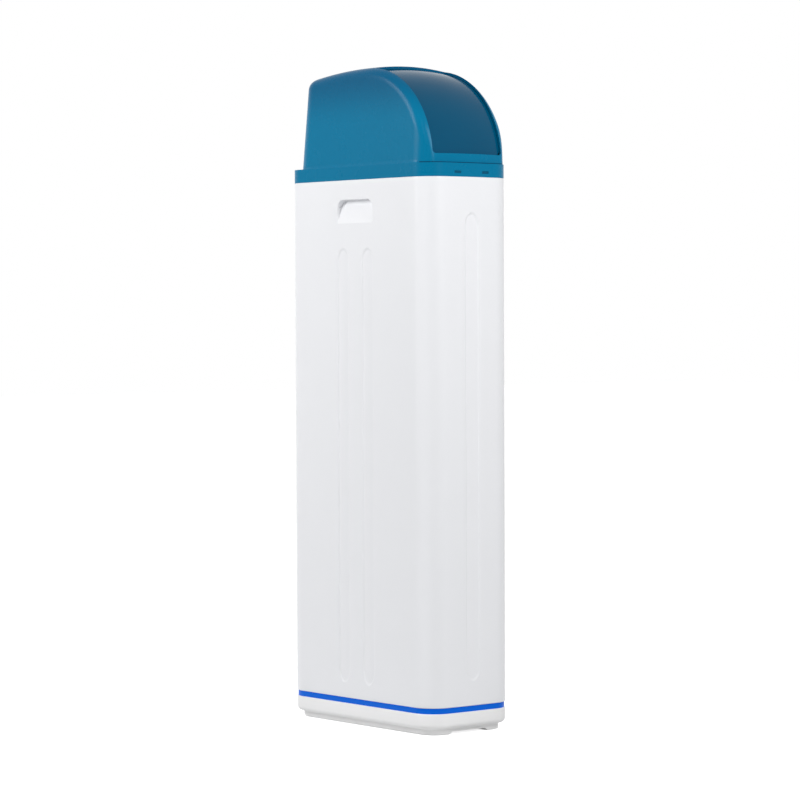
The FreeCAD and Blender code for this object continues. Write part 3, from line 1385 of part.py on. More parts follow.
def barrel(name, radius, crown, level):
    """Solid round an axis across the hood, crowned from side to side."""
    edge = radius - fall_across(crown, half_width)
    return turned(name, [(0, -half_width), (edge, -half_width), (edge, half_width, crown),
                         (0, half_width)], 0, arc_back, level, "x")


def hood_block(name, wall):
    """Solid form of the hood above its band, drawn in by a wall on every side."""
    radius = size.hood_radius - wall
    crown = size.hood_crown - wall
    low = band_top - (size.hood_root if wall is ZERO else size.hood_wall)
    top = arc_level + radius
    run = roof_rear - arc_back
    roof = (run * run + size.roof_drop * size.roof_drop) / (size.roof_drop * 2) - wall
    sides, heights = (-half_width, half_width), (low, top + 1)
    front = common(name + "Front", barrel(name + "Curve", radius, crown, arc_level),
                   block(name + "FrontRoom", sides, (-half_depth, arc_back), heights))
    rear = common(name + "Rear", barrel(name + "Roof", roof, crown, top - roof),
                  block(name + "RearRoom", sides, (arc_back, half_depth), heights))
    side = fuse(name + "Side", front, rear)

    leaning = doc.addObject("Part::Wedge", name + "Walls")
    leaning.Placement = FreeCAD.Placement(VECTOR(0, 0, 0), FreeCAD.Rotation(VECTOR(1, 0, 0), 90))
    bind(leaning, "Ymin", low)
    bind(leaning, "Ymax", hood_top)
    for path, sides, rear in (("%smin", size.hood_side_low, size.hood_rear_low),
                              ("%s2min", size.hood_side_high, size.hood_rear_high)):
        across = half_width - sides - wall
        bind(leaning, path % "X", -across)
        bind(leaning, path.replace("min", "max") % "X", across)
        bind(leaning, path % "Z", rear + wall - half_depth)
        bind(leaning, path.replace("min", "max") % "Z", half_depth - size.hood_side_low - wall)
    walls = soften(name + "Upright", leaning, size.hood_corner - wall,
                   lambda edge: edge.BoundBox.ZLength > 50)
    form = common(name + "Form", side, walls)
    doc.recompute()

    def upper_edge(edge):
        """Edges shared by a wall and the curved top."""
        faces = form.Shape.ancestorsOfType(edge, Part.Face)
        tops = [is_top(face) for face in faces]
        return len(tops) == 2 and tops[0] != tops[1] and edge.BoundBox.ZMax > low.value + 1

    def is_top(face):
        return not isinstance(face.Surface, (Part.Plane, Part.Cylinder))

    return soften(name, form, size.hood_edge - wall, upper_edge)


def ring_sector(name, outer, inner, width, start, sweep):
    """Part of a ring about the axis of the front curve, from an angle above the front level."""
    sectors = []
    for label, radius, spare in (("Outer", outer, ZERO), ("Inner", inner, as_dim(2))):
        item = doc.addObject("Part::Cylinder", name + label)
        bind(item, "Radius", radius)
        bind(item, "Height", width + spare * 2)
        bind(item, "Angle", sweep if spare is ZERO else as_dim(360))
        facing = FreeCAD.Rotation(VECTOR(0, -1, 0), VECTOR(0, 0, 1), VECTOR(-1, 0, 0), "ZXY")
        tilt = FreeCAD.Rotation(VECTOR(-1, 0, 0), start.value)
        item.Placement = FreeCAD.Placement(VECTOR(0, 0, 0), tilt * facing)
        bind(item, "Placement.Base.x", width / 2 + spare)
        bind(item, "Placement.Base.y", arc_back)
        bind(item, "Placement.Base.z", arc_level)
        sectors.append(item)
    return cut(name, *sectors)


def crowned_sector(name, outer, inner, width, start, sweep):
    """Part of a ring as above, crowned with the hood."""
    room = ring_sector(name + "Room", outer + 1, inner - fall_across(size.hood_crown, half_width),
                       width, start, sweep)
    depth = size.hood_radius
    shell = cut(name + "Shell",
                barrel(name + "Outside", outer, size.hood_crown + outer - depth, arc_level),
                barrel(name + "Inside", inner, size.hood_crown + inner - depth, arc_level))
    return common(name, room, shell)


def make_hood():
    wall = size.hood_wall
    inset = size.band_inset
    outer = hood_block("HoodOutside", ZERO)
    inner = hood_block("HoodInside", wall)
    band = prism("HoodBand", "XY_Plane", cabinet_outline(inset), tub_top, size.band_height)
    lip_outer = size.cabinet_wall - size.rebate_width + size.fit_gap
    lip = prism("HoodLip", "XY_Plane", cabinet_outline(lip_outer), tub_top - size.hood_lip,
                size.hood_lip + 1)
    lip_inner = lip_outer + size.rebate_width
    band_hollow = prism("HoodBandHollow", "XY_Plane", cabinet_outline(lip_inner),
                        tub_top - size.hood_lip - 1, size.hood_lip + size.band_height + 1 - wall)
    window = ring_sector("Window", size.hood_radius + 6, size.hood_radius - 14,
                         window_width, size.window_start, size.window_sweep)
    frame = crowned_sector("WindowFrame", size.hood_radius - wall / 2,
                           visor_radius + size.free_gap, window_width + wall * 2,
                           size.window_start - size.frame_rim,
                           size.window_sweep + size.frame_rim * 2)
    frame = common("WindowFrameFitted", frame, outer)
    half = window_width.value / 2

    def window_corner(edge):
        box = edge.BoundBox
        ends = edge.Vertexes
        radial = box.XLength < 0.01 and isinstance(edge.Curve, Part.Line)
        return radial and abs(abs(ends[0].X) - half) < 0.1

    window = soften("WindowRounded", window, size.window_corner, window_corner)
    notch = block("PipeNotch", (-notch_half, notch_half),
                  (half_depth - size.notch_depth, half_depth + 1),
                  (tub_top - size.hood_lip - 1, notch_top))
    marks = []
    for name, way in (("Left", -1), ("Right", 1)):
        x = size.latch_side * way
        front = inset - half_depth
        marks.append(block("LatchMark" + name, (x - size.latch_width / 2,
                                                x + size.latch_width / 2),
                           (front - 1, front + size.latch_depth),
                           (latch_level - size.latch_height / 2,
                            latch_level + size.latch_height / 2)))
    hollow = cut("HoodHollow", fuse("HoodSolid", outer, band, lip), inner, band_hollow)
    shell = cut("HoodShell", fuse("HoodFramed", hollow, frame), window, notch, *marks)
    bosses, holes = [], []
    boss_start = half_width - size.hood_side_low - wall - size.boss_length
    for name, axis, way in (("Left", "-x", -1), ("Right", "x", 1)):
        bosses.append(rod("PinBoss" + name, size.boss_radius, size.boss_length + 1, boss_start * way,
                          arc_back, arc_level, axis))
        holes.append(rod("PinHole" + name, size.visor_pin + size.run_gap, size.pin_depth + 2,
                         (boss_start - 1) * way, arc_back, arc_level, axis))
    keep(cut("hood", fuse("HoodBossed", shell, *bosses), *holes))
    clips = []
    gap = size.fit_gap
    for name, way in (("Left", -1), ("Right", 1)):
        x = size.latch_side * way
        front = inset - half_depth
        plate = block("Clip" + name, (x - size.latch_width / 2 + gap,
                                      x + size.latch_width / 2 - gap),
                      (front + size.latch_depth - 0.8, front + size.latch_depth),
                      (latch_level - size.latch_height / 2 + gap,
                       latch_level + size.latch_height / 2 - gap))
        ribs = [plate]
        for number in range(5):
            centre = x + (number - 2) * 3
            ribs.append(block("ClipRib%s%d" % (name, number), (centre - 0.5, centre + 0.5),
                              (front + 0.1, front + size.latch_depth),
                              (latch_level - size.latch_height / 2 + gap,
                               latch_level + size.latch_height / 2 - gap)))
        clips.append(fuse("ClipBody" + name, *ribs))
    keep(group("hood_clips", *clips))


def make_visor():
    play = size.visor_play
    radius, wall = visor_radius, size.visor_wall
    width = window_width - size.free_gap * 2
    start = size.window_start + play
    sheet = crowned_sector("VisorSheet", radius, radius - wall, width, start,
                           size.window_sweep - play * 2)
    edge = width / 2
    arm_reach = radius - wall / 2 - fall_across(size.hood_crown, edge)
    low_end = arc_level.value + 30

    def lower_corner(side):
        box = side.BoundBox
        radial = box.XLength < 0.01 and isinstance(side.Curve, Part.Line)
        return radial and box.ZMax < low_end

    sheet = soften("VisorSheetRounded", sheet, size.visor_corner, lower_corner)
    middle = (size.window_start + size.window_sweep / 2).value
    parts = [sheet]
    holes, pins = [], []
    thickness = size.arm_thickness
    for name, way in (("Left", -1), ("Right", 1)):
        arm = doc.addObject("Part::Box", "VisorArm" + name)
        bind(arm, "Length", thickness)
        bind(arm, "Width", arm_reach)
        bind(arm, "Height", size.visor_arm)
        lean = FreeCAD.Rotation(VECTOR(-1, 0, 0), middle)
        inner_x = edge * way if way < 0 else edge - thickness
        down = lean.multVec(VECTOR(0, 0, -1))
        along = lean.multVec(VECTOR(0, -1, 0))
        arm.Placement = FreeCAD.Placement(VECTOR(0, 0, 0), lean)
        bind(arm, "Placement.Base.x", inner_x)
        bind(arm, "Placement.Base.y", arc_back + size.visor_arm / 2 * down.y
             + arm_reach * along.y)
        bind(arm, "Placement.Base.z", arc_level + size.visor_arm / 2 * down.z
             + arm_reach * along.z)
        hub = rod("VisorHub" + name, size.visor_hub + 2, thickness, inner_x, arc_back,
                  arc_level, "x")
        parts += [arm, hub]
        holes.append(rod("VisorEye" + name, size.visor_pin + size.run_gap, thickness + 2,
                         inner_x - 1, arc_back, arc_level, "x"))
        axis = "-x" if way < 0 else "x"
        boss_start = half_width - size.hood_side_low - size.hood_wall - size.boss_length
        head = edge - thickness - size.pin_gap
        rim, flat = size.visor_pin + size.visor_pin_head, size.visor_pin_flat
        length = boss_start + size.pin_depth - head
        pins.append(turned("VisorPin" + name, [
            (0, -flat), (rim, -flat), (rim, 0), (size.visor_pin, 0),
            (size.visor_pin, length), (0, length)],
            head * way, arc_back, arc_level, axis))
    keep(cut("visor", fuse("VisorSolid", *parts), *holes))
    keep(group("visor_pins", *pins))


make_base()
make_stripe()
make_tub()
make_overflow()
make_deck()
make_salt_lid()
make_platform()
make_brine_well()
make_float_set()
make_brine_hose()
make_vessel()
make_valve_body()
make_discs()
make_drive()
make_head()
make_display()
make_fittings()
make_bypass()
make_hood()
make_visor()
doc.recompute()

failed = [item.Label for item in doc.Objects if "Invalid" in item.State or "Error" in item.State]
if failed:
    raise RuntimeError("failed objects: %s" % failed)
for piece in pieces:
    if piece.Shape.isNull() or not piece.Shape.isValid() or not piece.Shape.Solids:
        raise RuntimeError("no sound solid in %s" % piece.Label)
os.makedirs("parts", exist_ok=True)
for piece in pieces:
    piece.Shape.exportStep("parts/%s.step" % piece.Label)
print(len(pieces), "nodes")
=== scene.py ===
import json
import math

import bmesh
import bpy
from mathutils import Matrix, Vector
from mathutils.bvhtree import BVHTree


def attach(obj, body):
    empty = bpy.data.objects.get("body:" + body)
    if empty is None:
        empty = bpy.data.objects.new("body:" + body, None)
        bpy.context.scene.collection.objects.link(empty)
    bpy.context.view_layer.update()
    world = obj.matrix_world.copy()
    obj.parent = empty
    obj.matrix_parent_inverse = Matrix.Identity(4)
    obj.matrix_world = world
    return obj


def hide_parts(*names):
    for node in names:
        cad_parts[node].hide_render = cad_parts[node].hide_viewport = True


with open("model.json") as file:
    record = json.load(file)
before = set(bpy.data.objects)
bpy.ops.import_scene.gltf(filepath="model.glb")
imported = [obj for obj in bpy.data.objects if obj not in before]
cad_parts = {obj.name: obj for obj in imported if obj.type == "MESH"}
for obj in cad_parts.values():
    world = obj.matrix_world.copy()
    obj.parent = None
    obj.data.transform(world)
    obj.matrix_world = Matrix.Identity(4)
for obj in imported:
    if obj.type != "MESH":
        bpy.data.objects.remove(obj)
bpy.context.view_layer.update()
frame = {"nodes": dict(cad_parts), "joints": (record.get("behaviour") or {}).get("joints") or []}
nodes = frame["nodes"]
MM = 0.001


# The room: a pale floor that runs on without an edge, a white surround and soft lamps. The camera
# stands where the photograph was taken from, and its small shift is what the framing needs.

FLOOR_SIZE, FLOOR_WHITE, FLOOR_GLOW = 40.0, 0.7, 0.8
AMBIENT = 0.31
LAMP_AIM = Vector((0, 0, 1.0))
EYE = Vector((-3.5906, -4.4339, 0.7513))
LOOK_ACROSS = math.radians(39.0)
LOOK_DOWN = math.radians(1.5993)
CAMERA_TILT = math.radians(0.2385)
FOCAL_PIXELS = 3110.73
PHOTO_PIXELS = 800
PRINCIPAL_X = 398.37


def new_material(name):
    material = bpy.data.materials.new(name)
    material.use_nodes = True
    tree = material.node_tree
    return material, tree, tree.nodes["Principled BSDF"]


def seen_by_eye_or_gloss(tree):
    """1 for rays that come from the camera, a gloss or a clear surface, otherwise 0."""
    path = tree.nodes.new("ShaderNodeLightPath")
    total = path.outputs["Is Camera Ray"]
    for name in ("Is Glossy Ray", "Is Transmission Ray"):
        add = tree.nodes.new("ShaderNodeMath")
        add.operation = "ADD"
        add.use_clamp = True
        tree.links.new(total, add.inputs[0])
        tree.links.new(path.outputs[name], add.inputs[1])
        total = add.outputs[0]
    return total


def make_floor():
    mesh = bpy.data.meshes.new("floor")
    half = FLOOR_SIZE / 2
    corners = [(-half, -half, 0), (half, -half, 0), (half, half, 0), (-half, half, 0)]
    mesh.from_pydata(corners, [], [(0, 1, 2, 3)])
    floor = bpy.data.objects.new("floor", mesh)
    bpy.context.scene.collection.objects.link(floor)
    material, tree, shader = new_material("floor_white")
    shader.inputs["Base Color"].default_value = (FLOOR_WHITE, FLOOR_WHITE, FLOOR_WHITE, 1)
    shader.inputs["Roughness"].default_value = 0.9
    shader.inputs["Specular IOR Level"].default_value = 0.1
    glow = tree.nodes.new("ShaderNodeEmission")
    eye = tree.nodes.new("ShaderNodeMath")
    eye.operation = "MULTIPLY"
    eye.inputs[1].default_value = FLOOR_GLOW
    tree.links.new(seen_by_eye_or_gloss(tree), eye.inputs[0])
    tree.links.new(eye.outputs[0], glow.inputs["Strength"])
    both = tree.nodes.new("ShaderNodeAddShader")
    tree.links.new(shader.outputs[0], both.inputs[0])
    tree.links.new(glow.outputs[0], both.inputs[1])
    tree.links.new(both.outputs[0], tree.nodes["Material Output"].inputs["Surface"])
    mesh.materials.append(material)


def make_surround():
    world = bpy.data.worlds.new("surround")
    bpy.context.scene.world = world
    world.use_nodes = True
    tree = world.node_tree
    background = tree.nodes["Background"]
    background.inputs["Color"].default_value = (1, 1, 1, 1)
    level = tree.nodes.new("ShaderNodeMapRange")
    level.inputs["To Min"].default_value = AMBIENT
    level.inputs["To Max"].default_value = 1.0
    tree.links.new(seen_by_eye_or_gloss(tree), level.inputs["Value"])
    tree.links.new(level.outputs["Result"], background.inputs["Strength"])


def make_lamp(name, place, size, power):
    lamp = bpy.data.lights.new(name, "AREA")
    lamp.shape = "RECTANGLE"
    lamp.size, lamp.size_y = size
    lamp.energy = power
    item = bpy.data.objects.new(name, lamp)
    item.location = place
    item.rotation_euler = (LAMP_AIM - Vector(place)).to_track_quat("-Z", "Y").to_euler()
    item.visible_camera = False
    bpy.context.scene.collection.objects.link(item)


def make_camera():
    look = Vector((math.sin(LOOK_ACROSS) * math.cos(LOOK_DOWN),
                   math.cos(LOOK_ACROSS) * math.cos(LOOK_DOWN), -math.sin(LOOK_DOWN)))
    level = Vector((math.cos(LOOK_ACROSS), -math.sin(LOOK_ACROSS), 0))
    upright = level.cross(look)
    right = level * math.cos(CAMERA_TILT) - upright * math.sin(CAMERA_TILT)
    up = right.cross(look)
    data = bpy.data.cameras.new("camera")
    data.lens = FOCAL_PIXELS * data.sensor_width / PHOTO_PIXELS
    data.shift_x = (PHOTO_PIXELS / 2 - PRINCIPAL_X) / PHOTO_PIXELS
    data.clip_end = 50
    camera = bpy.data.objects.new("camera", data)
    turn = Matrix((right, up, -look)).transposed().to_4x4()
    camera.matrix_world = Matrix.Translation(EYE) @ turn
    bpy.context.scene.collection.objects.link(camera)
    bpy.context.scene.camera = camera


make_floor()
make_surround()
make_lamp("left_lamp", (-2.1, 1.15, 1.9), (1.0, 1.2), 38.5)
make_lamp("front_lamp", (-0.2, -2.3, 2.05), (0.8, 1.1), 38)
make_lamp("corner_lamp", (-1.6, -1.5, 2.3), (0.5, 0.9), 3)
make_camera()
bpy.context.scene.view_settings.view_transform = "Standard"


# Cabinet base: a moulded white tray with a rounded wall, a soft waist above its plinth, and two
# long runners that the cabinet stands on. It pushes up into the stripe and carries the tub.

CABINET_X, CABINET_Y, CABINET_CORNER = 100.0, 210.0, 45.0
FLAT_X, FLAT_Y = CABINET_X - CABINET_CORNER, CABINET_Y - CABINET_CORNER
FACE_BOW = 0.5
CORNER_STEPS, BASE_EDGE_STEPS, BASE_STEP_X, BASE_STEP_Y = 14, 8, 12.0, 20.0
BASE_INSET, BASE_TOP, STRIPE_TOP = 0.4, 39.5, 49.5
BASE_ROUND, PLINTH_INSET, PLINTH_TOP, PLINTH_EDGE = 9.0, 13.0, 12.0, 3.5
BASE_LIP = 2.0
SPIGOT_INSET = 6.2
TRAY_INSET, TRAY_FLOOR = 16.0, 8.0
RUNNER_RISE, RUNNER_GAP, RUNNER_RAMP = 5.0, 78.0, 6.0
RIB_THICKNESS, RIB_ROWS = 4.0, (-168.0, 0.0, 168.0)
CLOUD_SCALE, GLOSS_SCALE, GRAIN_RISE = 9.0, 25.0, 0.0002


def srgb(red, green, blue):
    channels = []
    for value in (red, green, blue):
        part = value / 255
        channels.append(part / 12.92 if part <= 0.04045 else ((part + 0.055) / 1.055) ** 2.4)
    return channels


def blend_colours(tree, factor, low, high, target):
    """Two colours, mixed by a factor, into a socket."""
    blend = tree.nodes.new("ShaderNodeMix")
    blend.data_type = "RGBA"
    tree.links.new(factor, blend.inputs["Factor"])
    blend.inputs["A"].default_value = (*low, 1)
    blend.inputs["B"].default_value = (*high, 1)
    tree.links.new(blend.outputs["Result"], target)


def fit_range(tree, value, low, high, target):
    """A value from 0 to 1, brought between two limits, into a socket."""
    fit = tree.nodes.new("ShaderNodeMapRange")
    fit.inputs["To Min"].default_value = low
    fit.inputs["To Max"].default_value = high
    tree.links.new(value, fit.inputs["Value"])
    tree.links.new(fit.outputs["Result"], target)


def add_bump(tree, height, strength, distance, shader):
    bump = tree.nodes.new("ShaderNodeBump")
    bump.inputs["Strength"].default_value = strength
    bump.inputs["Distance"].default_value = distance
    tree.links.new(height, bump.inputs["Height"])
    tree.links.new(bump.outputs["Normal"], shader.inputs["Normal"])


def add_noise(tree, spot, scale, detail=2.0):
    noise = tree.nodes.new("ShaderNodeTexNoise")
    noise.inputs["Scale"].default_value = scale
    noise.inputs["Detail"].default_value = detail
    tree.links.new(spot, noise.inputs["Vector"])
    return noise.outputs["Fac"]


def plastic(name, colour, roughness=0.4, grain=0.15, grain_size=0.5, cloud=0.03, specular=0.5):
    """Moulded plastic: faintly cloudy, with uneven gloss and the grain of its mould, in mm."""
    material, tree, shader = new_material(name)
    spot = tree.nodes.new("ShaderNodeTexCoord").outputs["Object"]
    base = srgb(*colour)
    cloudy = add_noise(tree, spot, CLOUD_SCALE, 3.0)
    blend_colours(tree, cloudy, [channel * (1 - cloud) for channel in base],
                  [min(channel * (1 + cloud), 1) for channel in base], shader.inputs["Base Color"])
    fit_range(tree, add_noise(tree, spot, GLOSS_SCALE, 4.0), roughness * 0.85, min(roughness * 1.15, 1),
              shader.inputs["Roughness"])
    add_bump(tree, add_noise(tree, spot, 1 / (grain_size * MM)), grain, GRAIN_RISE, shader)
    shader.inputs["Specular IOR Level"].default_value = specular
    return material


def spread(start, end, step):
    """Evenly spaced places from start to end, no more than a step apart."""
    count = max(1, math.ceil((end - start) / step - 1e-6))
    return [start + (end - start) * number / count for number in range(count + 1)]


def quarter_turn(steps):
    """Angles from nothing to a right angle."""
    return [math.pi / 2 * step / steps for step in range(steps + 1)]


def walk_round(front, side, back):
    """Places round the cabinet's plan from the front on, with their outward directions. Each face
    is a little bowed."""
    faces = (((0, -1), (1, 0), CABINET_Y, front), ((1, 0), (0, 1), CABINET_X, side),
             ((0, 1), (-1, 0), CABINET_Y, [-place for place in reversed(back)]),
             ((-1, 0), (0, -1), CABINET_X, [-place for place in reversed(side)]))
    spots = []
    for outward, along, reach, places in faces:
        out, way = Vector(outward), Vector(along)
        flat = places[-1]
        for place in places:
            bow = FACE_BOW * (place / flat) ** 2
            spots.append((out * (reach - bow) + way * place, out))
        centre = out * (reach - CABINET_CORNER) + way * flat
        for angle in quarter_turn(CORNER_STEPS)[1:-1]:
            facing = out * math.cos(angle) + way * math.sin(angle)
            spots.append((centre + facing * (CABINET_CORNER - FACE_BOW), facing))
    return spots


def ring(spots, inset, level):
    """One level of a wall. The inset is a number or a function of the place, facing and level."""
    points = []
    for place, facing in spots:
        depth = inset(place, facing, level) if callable(inset) else inset
        spot = place - facing * depth
        points.append((spot.x * MM, spot.y * MM, level * MM))
    return points


def loft(name, rings):
    """Closed mesh through equal rings, with its two ends capped."""
    count = len(rings[0])
    points = [point for one in rings for point in one]
    faces = []
    for number in range(len(rings) - 1):
        low, high = number * count, (number + 1) * count
        for index in range(count):
            after = (index + 1) % count
            faces.append((low + index, low + after, high + after, high + index))
    faces.append(tuple(reversed(range(count))))
    faces.append(tuple(range((len(rings) - 1) * count, len(rings) * count)))
    mesh = bpy.data.meshes.new(name)
    mesh.from_pydata(points, [], faces)
    return mesh


def face_outward(mesh):
    work = bmesh.new()
    work.from_mesh(mesh)
    bmesh.ops.recalc_face_normals(work, faces=work.faces)
    work.to_mesh(mesh)
    work.free()
    return mesh


def prism_mesh(name, outline, start, end):
    """Solid between two levels of Y from an outline given as X and Z."""
    rows = [[(x * MM, y * MM, z * MM) for x, z in outline] for y in (start, end)]
    return face_outward(loft(name, rows))


def box_mesh(name, low, high):
    (left, front, bottom), (right, back, top) = low, high
    outline = [(left, bottom), (right, bottom), (right, top), (left, top)]
    return prism_mesh(name, outline, front, back)


def combine(mesh, operation, *tools):
    """The mesh after a union or difference with each tool in turn."""
    item = bpy.data.objects.new(mesh.name, mesh)
    bpy.context.scene.collection.objects.link(item)
    for tool in tools:
        cutter = bpy.data.objects.new(tool.name, tool)
        bpy.context.scene.collection.objects.link(cutter)
        work = item.modifiers.new("work", "BOOLEAN")
        work.operation = operation
        work.solver = "MANIFOLD"
        work.object = cutter
        graph = bpy.context.evaluated_depsgraph_get()
        result = bpy.data.meshes.new_from_object(item.evaluated_get(graph))
        item.modifiers.remove(work)
        item.data = result
        bpy.data.objects.remove(cutter)
        bpy.data.meshes.remove(tool)
    result = item.data
    bpy.data.objects.remove(item)
    return result


def add_piece(name, mesh, material, body, replaced=(), crease=32):
    """Put a finished mesh in the scene, smooth up to a crease angle, and let it ride on a body."""
    mesh.name = name
    mesh.materials.clear()
    mesh.materials.append(material)
    mesh.shade_smooth()
    mesh.set_sharp_from_angle(angle=math.radians(crease))
    piece = bpy.data.objects.new(name, mesh)
    bpy.context.scene.collection.objects.link(piece)
    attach(piece, body)
    if replaced:
        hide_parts(*replaced)


def finish(material, *names):
    """Give carried-over CAD nodes their real finish."""
    for name in names:
        for slot in nodes[name].material_slots:
            slot.material = material


base_white = plastic("base_white", (250, 250, 250), 0.5, 0.2, 0.6, 0.01)


def make_base():
    across = spread(-FLAT_X, FLAT_X, BASE_STEP_X)
    spots = walk_round(across, spread(-FLAT_Y, FLAT_Y, BASE_STEP_Y), across)
    profile = []
    quarter = quarter_turn(BASE_EDGE_STEPS)
    ledge = BASE_INSET + BASE_ROUND
    waist = PLINTH_INSET - ledge
    for angle in quarter:
        profile.append((PLINTH_INSET + PLINTH_EDGE * (1 - math.sin(angle)),
                        PLINTH_EDGE * (1 - math.cos(angle))))
    for angle in quarter:
        profile.append((ledge + waist * math.cos(angle), PLINTH_TOP - waist * (1 - math.sin(angle))))
    for angle in quarter[1:]:
        profile.append((BASE_INSET + BASE_ROUND * (1 - math.sin(angle)),
                        PLINTH_TOP + BASE_ROUND * (1 - math.cos(angle))))
    for angle in quarter:
        profile.append((BASE_INSET + BASE_LIP * (1 - math.cos(angle)),
                        BASE_TOP - BASE_LIP * (1 - math.sin(angle))))
    profile += [(SPIGOT_INSET, BASE_TOP), (SPIGOT_INSET, STRIPE_TOP)]
    outer = loft("base_outer", [ring(spots, inset, level) for inset, level in profile])
    tray = loft("base_tray", [ring(spots, TRAY_INSET, TRAY_FLOOR),
                              ring(spots, TRAY_INSET, STRIPE_TOP + 1)])
    half, foot = RIB_THICKNESS / 2, RUNNER_GAP / 2
    ribs = [box_mesh("base_rib", (TRAY_INSET - CABINET_X - 1, row - half, TRAY_FLOOR - 1),
                     (CABINET_X - TRAY_INSET + 1, row + half, STRIPE_TOP)) for row in RIB_ROWS]
    slope = RUNNER_RAMP * (1 + 1 / RUNNER_RISE)
    gap = prism_mesh("runner_gap", [(-foot - slope, -1), (foot + slope, -1), (foot, RUNNER_RISE),
                                    (-foot, RUNNER_RISE)], -CABINET_Y, CABINET_Y)
    mesh = combine(combine(combine(outer, "DIFFERENCE", tray), "UNION", *ribs), "DIFFERENCE", gap)
    add_piece("base_shell", mesh, base_white, "cabinet", ("cabinet_base",))


make_base()


# Accent stripe: an extruded blue profile that lies in the groove between the base and the tub.

stripe_blue = plastic("stripe_blue", (0, 104, 226), 0.4, 0.1, 0.5, 0.03, 0.1)
finish(stripe_blue, "accent_stripe")


# Cabinet tub: blow-moulded white plastic, one wall thick, with faintly bowed faces. Shallow flutes
# with soft edges stiffen its sides and front, a hand recess under the rim deepens towards its
# ceiling on each side, and a square recess at the back holds the overflow.

TUB_TOP, TUB_WALL, TUB_ROUND, RIM_EDGE = 993.0, 4.0, 2.5, 0.6
TUB_FLOOR = STRIPE_TOP + TUB_WALL
REBATE_INSET, REBATE_LEVEL = 2.0, 986.0
FLUTE_HALF, FLUTE_CROWN, FLUTE_DEPTH, FLUTE_SOFT = 15.0, 23.0, 1.8, 3.4
SIDE_FLUTES, SIDE_FLUTE_ENDS = (-35.0, 36.0), (79.0, 868.0)
FRONT_FLUTES, FRONT_FLUTE_ENDS = (0.0,), (96.0, 928.0)
GRIP_MIDDLE, GRIP_HALF, GRIP_CORNER = 0.5, 50.5, 16.0
GRIP_LOW, GRIP_HIGH, GRIP_DEPTH, GRIP_SOFT = 915.0, 957.0, 12.0, 1.8
OVERFLOW_X, OVERFLOW_Z = -64.0, 950.0
OVERFLOW_HALF, OVERFLOW_RISE, OVERFLOW_DEPTH, OVERFLOW_BORE = 20.0, 26.0, 30.0, 9.0
FINE, FLUTE_STEP, MEDIUM, GRIP_STEP = 0.5, 1.25, 1.5, 5.0
PLAIN_STEP, BACK_STEP, COARSE = 8.0, 10.0, 20.0
RIM_STEPS, BORE_STEPS = 6, 48
FOOT_LEVEL, PLAIN_LEVELS, LEAST_GAP = 60.0, (130.0, 830.0, 50.0), 0.2
SIDE_INNER, SIDE_INNER_STEP, SIDE_OUTER = 14.0, 7.0, 56.0
PAST_EDGE = 2.0
STRAIGHT = 0.999


def eased(share):
    share = min(max(share, 0.0), 1.0)
    return share * share * (3 - 2 * share)


def flute_depth(across, level, middles, ends):
    """How deep a pressed flute is at a place on its face."""
    low, high = ends[0] + FLUTE_CROWN, ends[1] - FLUTE_CROWN
    past = max(low - level, level - high, 0.0)
    depth = 0.0
    for middle in middles:
        off = math.hypot((across - middle) / FLUTE_HALF, past / FLUTE_CROWN)
        inside = (1 - off) * FLUTE_HALF
        depth = max(depth, FLUTE_DEPTH * eased(inside / FLUTE_SOFT + 0.5))
    return depth


def grip_depth(across, level, spare=0.0):
    """How deep the hand recess is: nothing at its foot, most under its ceiling."""
    half, top, corner = GRIP_HALF + spare, GRIP_HIGH + spare, GRIP_CORNER + spare
    off = abs(across - GRIP_MIDDLE)
    inward = half - off
    down = top - level
    if inward < corner and down < corner:
        inside = corner - math.hypot(corner - inward, corner - down)
    else:
        inside = min(inward, down)
    slope = GRIP_DEPTH * max(level - GRIP_LOW, 0.0) / (GRIP_HIGH - GRIP_LOW)
    return min(slope, GRIP_DEPTH + spare / 3) * eased(inside / GRIP_SOFT + 0.5)


def outer_inset(place, facing, level):
    if abs(facing.x) > STRAIGHT:
        return max(flute_depth(place.y, level, SIDE_FLUTES, SIDE_FLUTE_ENDS),
                   grip_depth(place.y, level))
    if facing.y < -STRAIGHT:
        return flute_depth(place.x, level, FRONT_FLUTES, FRONT_FLUTE_ENDS)
    return 0.0


def inner_inset(place, facing, level):
    bulge = grip_depth(place.y, level, TUB_WALL) if abs(facing.x) > STRAIGHT else 0.0
    return TUB_WALL + bulge


def tub_levels():
    """Levels of the wall, close together where a flute ends or the hand recess turns."""
    levels = {STRIPE_TOP + TUB_ROUND, FOOT_LEVEL, GRIP_LOW - 4, GRIP_LOW, TUB_TOP - RIM_EDGE}
    for low, high in (SIDE_FLUTE_ENDS, FRONT_FLUTE_ENDS):
        levels.update(spread(low - FLUTE_SOFT, low + FLUTE_CROWN + 1, MEDIUM))
        levels.update(spread(high - FLUTE_CROWN - 1, high + FLUTE_SOFT, MEDIUM))
    levels.update(spread(GRIP_LOW, GRIP_HIGH - GRIP_CORNER - 1, GRIP_STEP))
    levels.update(spread(GRIP_HIGH - GRIP_CORNER - 1, GRIP_HIGH + PAST_EDGE, FINE))
    levels.update(spread(GRIP_HIGH + PAST_EDGE, TUB_TOP - RIM_EDGE, PLAIN_STEP))
    levels.update(spread(*PLAIN_LEVELS))
    ordered = sorted(levels)
    kept = [ordered[0]]
    for level in ordered[1:]:
        if level - kept[-1] > LEAST_GAP:
            kept.append(level)
    return kept


